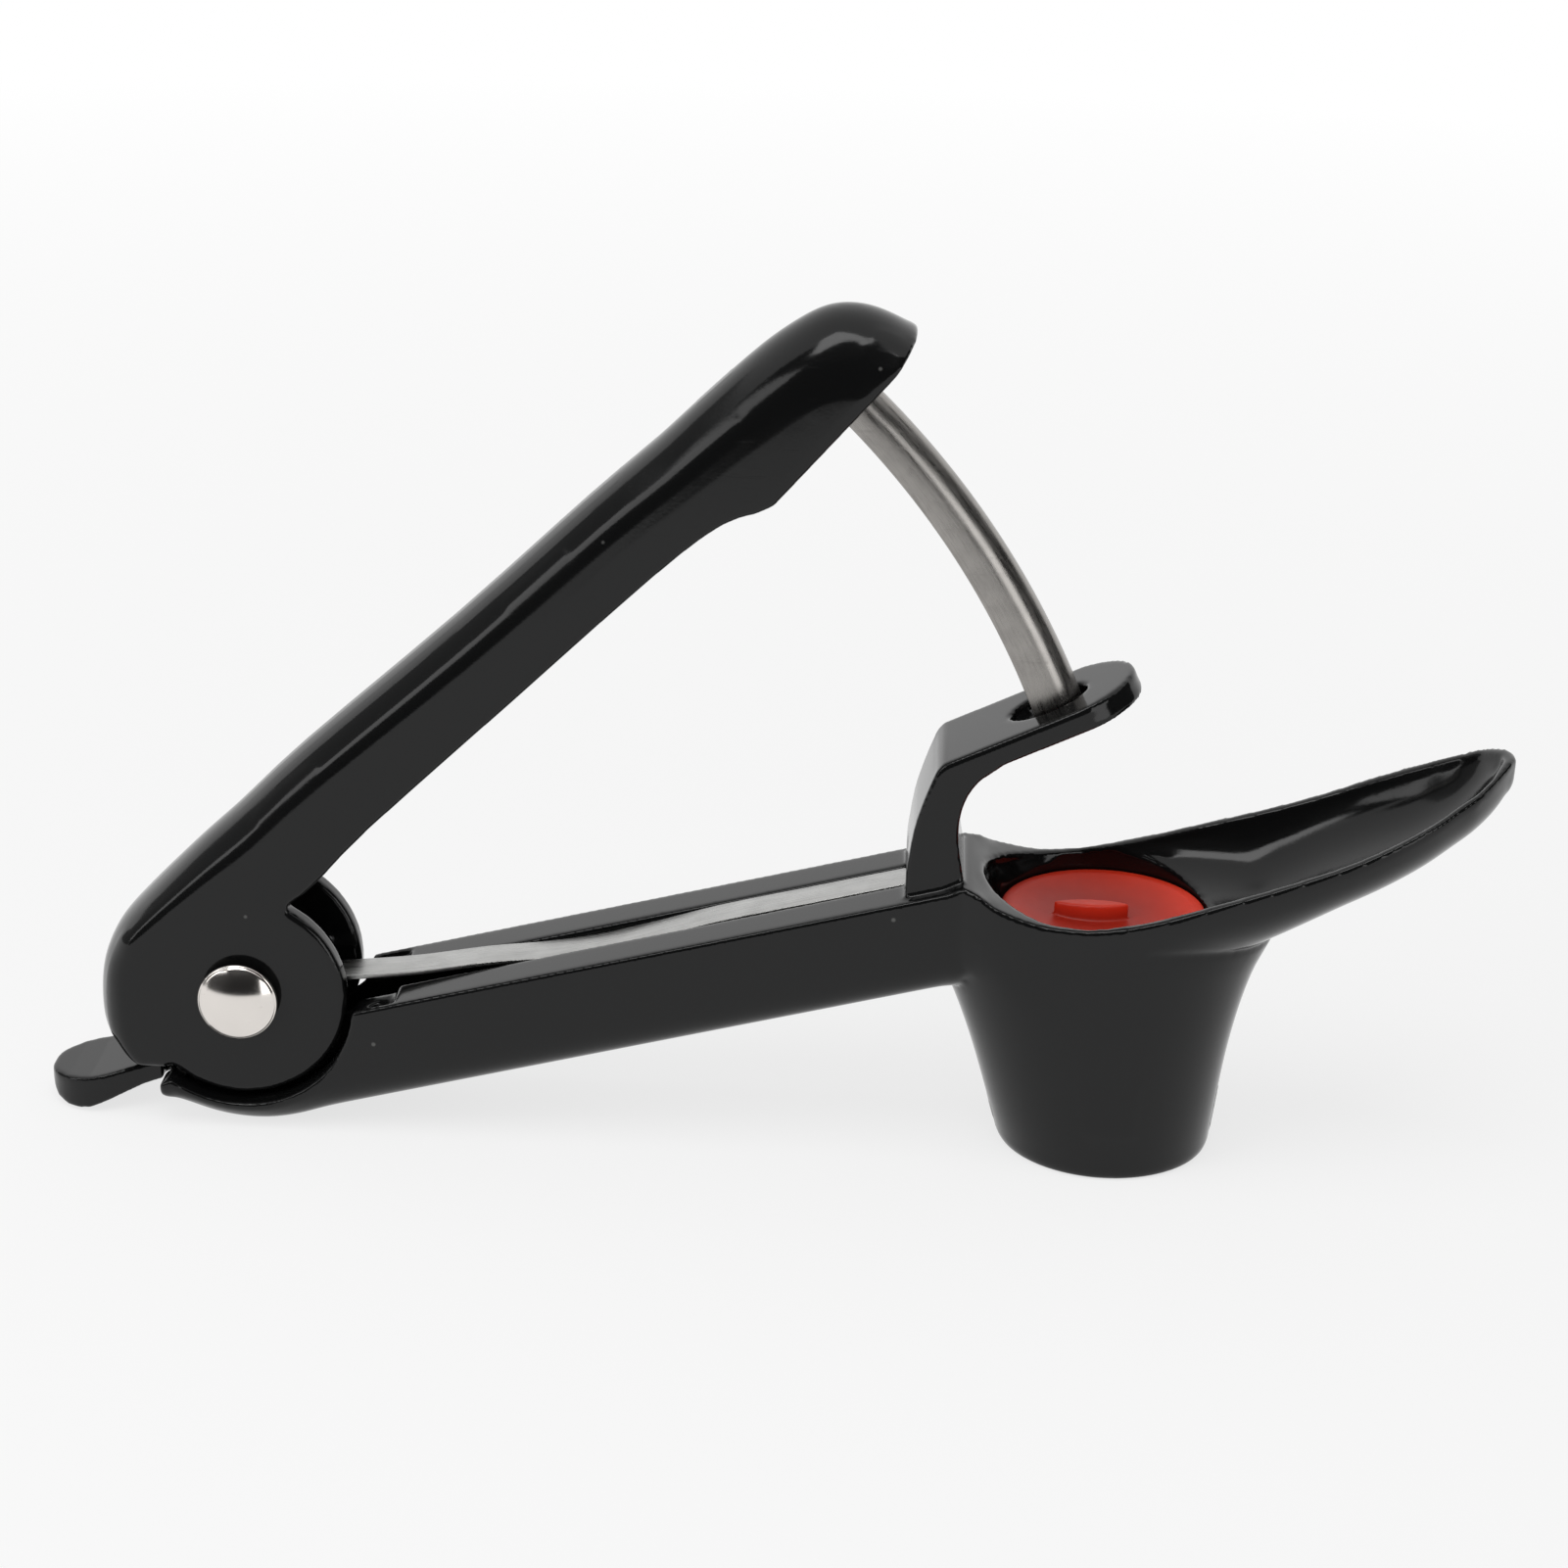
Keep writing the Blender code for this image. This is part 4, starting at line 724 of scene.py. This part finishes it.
def swept_strip_tree(material):
    """Geometry nodes: a line becomes a flat strip with rounded edges."""
    tree = bpy.data.node_groups.new("swept_strip", "GeometryNodeTree")
    tree.is_modifier = True
    face = tree.interface
    face.new_socket("Geometry", in_out="INPUT", socket_type="NodeSocketGeometry")
    for label in ("Width", "Thickness", "Edge Radius"):
        face.new_socket(label, in_out="INPUT", socket_type="NodeSocketFloat")
    face.new_socket("Geometry", in_out="OUTPUT", socket_type="NodeSocketGeometry")
    start = add(tree, "NodeGroupInput")
    end = add(tree, "NodeGroupOutput")
    line = add(tree, "GeometryNodeMeshToCurve", {"Mesh": start.outputs["Geometry"]})
    upright = add(tree, "GeometryNodeSetCurveNormal", {"Curve": line.outputs[0]}, mode="Z_UP")
    profile = add(tree, "GeometryNodeCurvePrimitiveQuadrilateral",
                  {"Width": start.outputs["Width"], "Height": start.outputs["Thickness"]})
    soft = add(tree, "GeometryNodeFilletCurve",
               {"Curve": profile.outputs[0], "Radius": start.outputs["Edge Radius"],
                "Count": 3}, mode="POLY")
    sweep = add(tree, "GeometryNodeCurveToMesh",
                {"Curve": upright.outputs[0], "Profile Curve": soft.outputs[0],
                 "Fill Caps": True})
    shaded = add(tree, "GeometryNodeSetShadeSmooth",
                 {"Geometry": sweep.outputs[0], "Shade Smooth": True})
    real = add(tree, "GeometryNodeRealizeInstances", {"Geometry": shaded.outputs[0]})
    paint = add(tree, "GeometryNodeSetMaterial",
                {"Geometry": real.outputs[0], "Material": material})
    tree.links.new(paint.outputs[0], end.inputs["Geometry"])
    return tree


def run_nodes(name, mesh, tree, values):
    """Run a node tree on a mesh and return the result as a plain mesh object."""
    obj = link_mesh(name + "_path", mesh)
    modifier = obj.modifiers.new("sweep", "NODES")
    modifier.node_group = tree
    for item in tree.interface.items_tree:
        if item.item_type == "SOCKET" and item.in_out == "INPUT" and item.name in values:
            modifier[item.identifier] = values[item.name]
    result = evaluated_mesh(obj)
    bpy.data.objects.remove(obj, do_unlink=True)
    result.name = name
    return link_mesh(name, result)


def strip_path(node):
    """Middle line of a leaf spring's solid, at even steps along X."""
    work = merged_solid(node)
    tree = BVHTree.FromBMesh(work)
    low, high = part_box(node)
    length = high.x - low.x - 2 * SPRING_END_GAP
    count = max(2, int(length / SPRING_STEP))
    points = []
    for i in range(count + 1):
        x = low.x + SPRING_END_GAP + length * i / count
        above = Vector((x, RAY_Y, high.z + RAY_CLEARANCE))
        below = Vector((x, RAY_Y, low.z - RAY_CLEARANCE))
        upper = tree.ray_cast(above, Vector((0.0, 0.0, -1.0)))[0]
        lower = tree.ray_cast(below, Vector((0.0, 0.0, 1.0)))[0]
        points.append((x, 0.0, (upper.z + lower.z) / 2))
    work.free()
    mesh = bpy.data.meshes.new(node + "_line")
    mesh.from_pydata(points, [(i, i + 1) for i in range(count)], [])
    return mesh


# ---------------- pieces


class PITTER_OT_body(Operator):
    """Make the lower moulding: handle, arm, guide plate, bowl, pouring tip and drop tube"""

    bl_idname = "pitter.make_body"
    bl_label = "Lower body"

    def execute(self, context):
        mouldings = scene_settings()[0]
        seat_low, seat_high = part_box("cherry_seat")
        middle = (seat_low.x + seat_high.x) / 2
        wide = (seat_high.y - seat_low.y) / 2
        # Where edges blend away: the tube's joint with the bowl, and the mouth beside the seat
        tube_joint = (middle - 1.3 * wide, middle + 1.6 * wide, 0.62 * wide, 2.0 * wide,
                      seat_low.z - 7.0 * MM, seat_high.z - 1.5 * MM)
        mouth = (middle - 1.3 * wide, middle - 0.45 * wide, -1.0, 0.9 * wide,
                 seat_high.z - 1.0 * MM, seat_high.z + 1.3 * MM)
        body = moulded_copy("lower_moulding", "lower_body", mouldings.body_cell,
                            mouldings.edge_passes, mouldings.face_passes, mouldings.edge_reach,
                            soft_zones=(tube_joint, mouth))
        finish_piece(body, black_plastic(mouldings), "body", ["lower_body"])
        return {"FINISHED"}


class PITTER_OT_lever(Operator):
    """Make the lever moulding with its rounded spine and two ears"""

    bl_idname = "pitter.make_lever"
    bl_label = "Lever"

    def execute(self, context):
        mouldings = scene_settings()[0]
        lever = moulded_copy("lever_moulding", "lever", mouldings.lever_cell, LEVER_EDGE_PASSES,
                             mouldings.face_passes, mouldings.edge_reach,
                             edge_angle=LEVER_EDGE_ANGLE)
        finish_piece(lever, black_plastic(mouldings), "lever", ["lever"])
        return {"FINISHED"}


class PITTER_OT_latch(Operator):
    """Make the lock rocker behind the hinge"""

    bl_idname = "pitter.make_latch"
    bl_label = "Lock latch"

    def execute(self, context):
        mouldings = scene_settings()[0]
        latch = moulded_copy("latch_rocker", "lock_latch", mouldings.latch_cell,
                             LATCH_EDGE_PASSES, LATCH_FACE_PASSES, mouldings.edge_reach)
        finish_piece(latch, black_plastic(mouldings), "latch", ["lock_latch"])
        return {"FINISHED"}


def channel_ring(inner, depth, half, sheet):
    """Closed outline of the plunger's channel as (distance from the hinge, Y) points."""
    outer, thin, lip = inner + depth, half - sheet, CHANNEL_LIP
    ring = [(inner, -half + lip), (inner + lip * 0.3, -half + lip * 0.3), (inner + lip, -half)]
    for j in range(CHANNEL_ARC_STEPS + 1):
        a = math.radians(-90.0 + 180.0 * j / CHANNEL_ARC_STEPS)
        ring.append((outer - half + half * math.cos(a), half * math.sin(a)))
    ring += [(inner + lip, half), (inner + lip * 0.3, half - lip * 0.3), (inner, half - lip)]
    ring += [(inner, thin + lip * 0.5), (inner + lip * 0.5, thin)]
    for j in range(CHANNEL_ARC_STEPS + 1):
        a = math.radians(90.0 - 180.0 * j / CHANNEL_ARC_STEPS)
        ring.append((outer - half + thin * math.cos(a), thin * math.sin(a)))
    return ring + [(inner + lip * 0.5, -thin), (inner, -thin - lip * 0.5)]


class PITTER_OT_plunger(Operator):
    """Make the bent steel plunger"""

    bl_idname = "pitter.make_plunger"
    bl_label = "Plunger"

    def execute(self, context):
        steels = scene_settings()[1]
        points, faces = [], []
        for i in range(PLUNGER_RINGS + 1):
            share = i / PLUNGER_RINGS
            angle = PLUNGER_START + (PLUNGER_END - PLUNGER_START) * share
            depth = steels.tip_depth + (steels.root_depth - steels.tip_depth) * share
            ring = channel_ring(steels.swing, depth, steels.width / 2, steels.sheet)
            for radius, y in ring:
                points.append(HINGE + Vector((radius * math.cos(angle), y,
                                              radius * math.sin(angle))))
        size = len(ring)
        for i in range(PLUNGER_RINGS):
            for j in range(size):
                k = (j + 1) % size
                faces.append((i * size + j, i * size + k, (i + 1) * size + k,
                              (i + 1) * size + j))
        faces.append(tuple(range(size)))
        faces.append(tuple(range(PLUNGER_RINGS * size, (PLUNGER_RINGS + 1) * size)))
        mesh = mesh_from("plunger_channel", points, faces)
        plunger = link_mesh("plunger_channel", mesh)
        mesh.set_sharp_from_angle(angle=math.radians(PLUNGER_SHARP))
        material = steel("plunger_steel", steels.plunger_colour, *PLUNGER_STEEL, swung=True)
        finish_piece(plunger, material, "lever", ["plunger"])
        return {"FINISHED"}


class PITTER_OT_pins(Operator):
    """Finish the two hidden steel pins"""

    bl_idname = "pitter.finish_pins"
    bl_label = "Pins"

    def execute(self, context):
        steels = scene_settings()[1]
        material = steel("pin_steel", steels.spring_colour, *PIN_STEEL)
        for name in ("plunger_pin", "latch_pin"):
            pin = NODES[name]
            pin.data.materials.clear()
            pin.data.materials.append(material)
        return {"FINISHED"}


class PITTER_OT_rivet(Operator):
    """Make the polished hinge rivet"""

    bl_idname = "pitter.make_rivet"
    bl_label = "Rivet"

    def execute(self, context):
        steels = scene_settings()[1]
        low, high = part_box("pivot_rivet")
        top, end = -low.y, -high.y
        crown = RIVET_HEAD - RIVET_EDGE
        dome = top - HINGE_FACE - RIVET_RIM
        ball = (RIVET_HEAD * RIVET_HEAD + dome * dome) / (2 * dome)
        profile = []
        for i in range(DOME_STEPS + 1):
            radius = crown * i / DOME_STEPS
            profile.append((radius, top - (ball - math.sqrt(ball * ball - radius * radius))))
        for i in range(1, RIM_STEPS + 1):
            a = math.radians(RIM_TURN * i / RIM_STEPS)
            profile.append((crown + RIVET_EDGE * math.sin(a),
                            HINGE_FACE + RIVET_RIM - RIVET_EDGE + 0.0003 * math.cos(a)))
        # The head's foot, the shank through the hinge, and the far end with its shallow hollow
        profile += [(RIVET_HEAD, HINGE_FACE + RIVET_RIM - 0.0004), (RIVET_COLLAR, HINGE_FACE),
                    (RIVET_SHANK, HINGE_FACE), (RIVET_SHANK, -HINGE_FACE),
                    (RIVET_TAIL - 0.0001, -HINGE_FACE), (RIVET_TAIL, -HINGE_FACE - 0.0001),
                    (RIVET_TAIL, end + 0.0003)]
        profile += rounded_corners([(RIVET_TAIL, end + 0.0003), (RIVET_TAIL, end),
                                    (RIVET_TAIL - 0.0008, end)], 0.0004)[1:]
        profile += [(0.0016, end), (0.0012, end + 0.0003), (0.0, end + 0.00035)]
        mesh = lathe("rivet_polished", profile, HINGE, across=True)
        mesh.set_sharp_from_angle(angle=math.radians(RIVET_SHARP))
        rivet = link_mesh("rivet_polished", mesh)
        finish_piece(rivet, polished_nickel(steels), "body", ["pivot_rivet"])
        return {"FINISHED"}


class PITTER_OT_springs(Operator):
    """Make the two leaf springs by sweeping a strip section along their lines"""

    bl_idname = "pitter.make_springs"
    bl_label = "Leaf springs"

    def execute(self, context):
        steels = scene_settings()[1]
        material = steel("spring_steel", steels.spring_colour, *SPRING_STEEL)
        tree = swept_strip_tree(material)
        for node in ("leaf_spring_main", "leaf_spring_helper"):
            low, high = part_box(node)
            strip = run_nodes(node.replace("leaf_spring", "spring_strip"), strip_path(node),
                              tree, {"Width": high.y - low.y, "Thickness": SPRING_THICKNESS,
                                     "Edge Radius": SPRING_EDGE})
            strip.data.set_sharp_from_angle(angle=math.radians(SPRING_SHARP))
            finish_piece(strip, material, "body", [node])
        return {"FINISHED"}


def add_lip(work, middle, side, reach, bottom, top):
    """Add one lip of the raised slit to the bmesh, on the side that 1 or -1 gives."""
    outline = []
    for i in range(SLIT_STEPS + 1):
        t = -math.cos(math.pi * i / SLIT_STEPS)
        outline.append((middle + t * reach,
                        side * (SLIT_HALF_GAP + LIP_WIDTH * (1.0 - t * t) ** SLIT_CURVE)))
    outline += [(middle + reach, side * SLIT_HALF_GAP), (middle - reach, side * SLIT_HALF_GAP)]
    lower = [work.verts.new((x, y, bottom)) for x, y in outline]
    upper = [work.verts.new((x, y, top)) for x, y in outline]
    count = len(outline)
    work.faces.new(lower)
    work.faces.new(upper)
    for i in range(count):
        j = (i + 1) % count
        work.faces.new((lower[i], lower[j], upper[j], upper[i]))


class PITTER_OT_seat(Operator):
    """Make the silicone seat with its raised slit"""

    bl_idname = "pitter.make_seat"
    bl_label = "Seat"

    def execute(self, context):
        seat_settings = scene_settings()[2]
        low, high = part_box("cherry_seat")
        lip_low, lip_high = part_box("seat_lip_near")
        centre = Vector(((low.x + high.x) / 2, 0.0, 0.0))
        r = (high.x - low.x) / 2
        top = high.z
        dish = top - seat_settings.dish_depth
        under = dish - DISH_THICKNESS
        profile = [(0.0, dish)]
        for i in range(1, DISH_STEPS + 1):
            t = i / DISH_STEPS
            profile.append((t * DISH_WIDTH * r, dish + (top - DISH_EDGE - dish) * t ** DISH_CURVE))
        profile += [(share * r, top - drop * MM) for share, drop in SEAT_RIM]
        profile += [(r, low.z), (r - 1.2 * MM, low.z), (r - 2.2 * MM, under), (0.0, under)]
        work = bmesh.new()
        work.from_mesh(lathe("seat_dish", profile, centre))
        for side in (1, -1):
            add_lip(work, (lip_low.x + lip_high.x) / 2, side, seat_settings.slit_reach,
                    dish - 0.3 * MM, lip_high.z - 0.15 * MM)
        bmesh.ops.recalc_face_normals(work, faces=work.faces)
        mesh = even_mesh("seat_silicone", work, seat_settings.cell)
        work.free()
        co = smoothed(mesh, np.full(len(mesh.vertices), float(SEAT_PASSES)))
        mesh.vertices.foreach_set("co", co.ravel())
        mesh.update()
        shade(mesh)
        seat = link_mesh("seat_silicone", mesh)
        finish_piece(seat, red_silicone(seat_settings), "body",
                     ["cherry_seat", "seat_lip_near", "seat_lip_far"])
        return {"FINISHED"}


# ---------------- stage


def soft_lamp(name, power, size, place):
    """A rectangular lamp at this place, turned to the pitter."""
    light = bpy.data.lights.new(name, "AREA")
    light.shape = "RECTANGLE"
    light.size, light.size_y = size
    light.energy = power
    lamp = bpy.data.objects.new(name, light)
    bpy.context.scene.collection.objects.link(lamp)
    lamp.location = place
    facing = (LAMP_AIM - Vector(place)).to_track_quat("-Z", "Y")
    lamp.rotation_euler = facing.to_euler()
    return lamp


def seen_rays(tree):
    """1 for the rays that show a surface to the camera, straight or in a reflection."""
    path = add(tree, "ShaderNodeLightPath")
    seen = math_node(tree, "MAXIMUM", path.outputs["Is Camera Ray"],
                     path.outputs["Is Transmission Ray"])
    return math_node(tree, "MAXIMUM", seen, path.outputs["Is Glossy Ray"])


def reflected_card(name, place, size, sides, strength):
    """A flat card facing the pitter that only reflections show."""
    points = []
    for i in range(sides):
        a = 2 * math.pi * (i + 0.5) / sides
        reach = 0.5 / math.cos(math.pi / sides)
        points.append((size[0] * reach * math.cos(a), size[1] * reach * math.sin(a), 0.0))
    card = link_mesh(name, mesh_from(name, points, [tuple(range(sides))], smooth=False))
    facing = (CARD_AIM - Vector(place)).to_track_quat("Z", "Y")
    card.matrix_world = Matrix.Translation(place) @ facing.to_matrix().to_4x4()
    material, tree, shader = blank_material(name)
    shader.inputs["Base Color"].default_value = (0.0, 0.0, 0.0, 1.0)
    shader.inputs["Specular IOR Level"].default_value = 0.0
    shader.inputs["Emission Color"].default_value = (1.0, 1.0, 1.0, 1.0)
    shader.inputs["Emission Strength"].default_value = strength
    card.data.materials.append(material)
    card.visible_camera = False
    card.visible_shadow = False
    card.visible_diffuse = False


def make_floor(stage):
    """The pale floor, which turns white away from the pitter."""
    corners = [(x * FLOOR_REACH, y * FLOOR_REACH, 0.0)
               for x, y in ((-1, -1), (1, -1), (1, 1), (-1, 1))]
    floor = link_mesh("floor", mesh_from("floor", corners, [(0, 1, 2, 3)], smooth=False))
    material, tree, shader = blank_material("pale_floor")
    place = object_place(tree)
    mottle = add(tree, "ShaderNodeTexNoise", {"Vector": place, "Scale": 3.0}).outputs[0]
    tone = remap(tree, mottle, 0.3, 0.7, 0.995, 1.0)
    colour = mixed_colour(tree, 1.0, (*stage.floor_colour, 1.0), grey(tree, tone), "MULTIPLY")
    tree.links.new(colour, shader.inputs["Base Color"])
    shader.inputs["Roughness"].default_value = 0.9
    shader.inputs["Specular IOR Level"].default_value = 0.0
    white = add(tree, "ShaderNodeEmission", {"Color": (1.0, 1.0, 1.0, 1.0), "Strength": 1.0})
    away = add(tree, "ShaderNodeVectorMath", {0: place}, operation="LENGTH").outputs["Value"]
    white_share = remap(tree, away, WHITE_FROM, WHITE_TO, stage.floor_white, 1.0)
    share = math_node(tree, "MULTIPLY", seen_rays(tree), white_share)
    mixed = add(tree, "ShaderNodeMixShader",
                {0: share, 1: shader.outputs[0], 2: white.outputs[0]})
    tree.links.new(mixed.outputs[0], tree.nodes["Material Output"].inputs["Surface"])
    floor.data.materials.append(material)


def make_surroundings(stage):
    """Even light from all round, white where it is seen."""
    world = bpy.data.worlds.new("surroundings")
    bpy.context.scene.world = world
    world.use_nodes = True
    tree = world.node_tree
    back = tree.nodes["Background"]
    back.inputs["Color"].default_value = (1.0, 1.0, 1.0, 1.0)
    tree.links.new(remap(tree, seen_rays(tree), 0.0, 1.0, stage.sky, 1.0),
                   back.inputs["Strength"])


def make_camera(scene):
    """The camera that sees the pitter from its near side and above."""
    camera = bpy.data.cameras.new("photo_view")
    camera.sensor_width = SENSOR_WIDTH
    camera.lens = FOCAL_PIXELS / PICTURE_PIXELS * camera.sensor_width
    camera.clip_start = CLIP_START
    view = bpy.data.objects.new("photo_view", camera)
    scene.collection.objects.link(view)
    back_axis = Vector((math.sin(CAMERA_TURN) * math.cos(CAMERA_LIFT),
                        -math.cos(CAMERA_TURN) * math.cos(CAMERA_LIFT), math.sin(CAMERA_LIFT)))
    right = Vector((math.cos(CAMERA_TURN), math.sin(CAMERA_TURN), 0.0))
    up = back_axis.cross(right)
    tilted = math.cos(CAMERA_ROLL) * right + math.sin(CAMERA_ROLL) * up
    upright = math.cos(CAMERA_ROLL) * up - math.sin(CAMERA_ROLL) * right
    matrix = Matrix((tilted, upright, back_axis)).transposed().to_4x4()
    matrix.translation = HINGE + CAMERA_TARGET + back_axis * CAMERA_DISTANCE
    view.matrix_world = matrix
    scene.camera = view


class PITTER_OT_stage(Operator):
    """Set up the pale floor, the soft lights, the surroundings and the camera"""

    bl_idname = "pitter.make_stage"
    bl_label = "Stage"

    def execute(self, context):
        stage = scene_settings()[3]
        make_floor(stage)
        make_surroundings(stage)
        overhead = soft_lamp("soft_overhead", stage.soft_light, *OVERHEAD_LAMP)
        overhead.visible_glossy = False
        soft_lamp("soft_left", stage.fill_light, *LEFT_LAMP)
        for card in REFLECTED_CARDS:
            reflected_card(*card)
        make_camera(context.scene)
        context.scene.view_settings.view_transform = "Standard"
        return {"FINISHED"}


# ---------------- panel and registration


MAKERS = (PITTER_OT_body, PITTER_OT_lever, PITTER_OT_latch, PITTER_OT_plunger, PITTER_OT_pins,
          PITTER_OT_rivet, PITTER_OT_springs, PITTER_OT_seat, PITTER_OT_stage)


class PITTER_PT_panel(Panel):
    """Lists the pitter's sizes and the steps that build it"""

    bl_label = "Cherry pitter"
    bl_idname = "PITTER_PT_panel"
    bl_space_type = "VIEW_3D"
    bl_region_type = "UI"
    bl_category = "Pitter"

    def draw(self, context):
        for group in scene_settings():
            box = self.layout.box()
            for key in group.__annotations__:
                box.prop(group, key)
        for maker in MAKERS:
            self.layout.operator(maker.bl_idname)


GROUPS = (("pitter_mouldings", PitterMouldings), ("pitter_steel", PitterSteel),
          ("pitter_seat", PitterSeat), ("pitter_stage", PitterStage))


def register():
    for key, group in GROUPS:
        bpy.utils.register_class(group)
        setattr(bpy.types.Scene, key, PointerProperty(type=group))
    for item in (*MAKERS, PITTER_PT_panel):
        bpy.utils.register_class(item)


def unregister():
    for item in reversed((*MAKERS, PITTER_PT_panel)):
        bpy.utils.unregister_class(item)
    for key, group in reversed(GROUPS):
        delattr(bpy.types.Scene, key)
        bpy.utils.unregister_class(group)


def main():
    register()
    bpy.ops.pitter.make_body()
    bpy.ops.pitter.make_lever()
    bpy.ops.pitter.make_latch()
    bpy.ops.pitter.make_plunger()
    bpy.ops.pitter.finish_pins()
    bpy.ops.pitter.make_rivet()
    bpy.ops.pitter.make_springs()
    bpy.ops.pitter.make_seat()
    bpy.ops.pitter.make_stage()


if __name__ == "__main__":
    main()
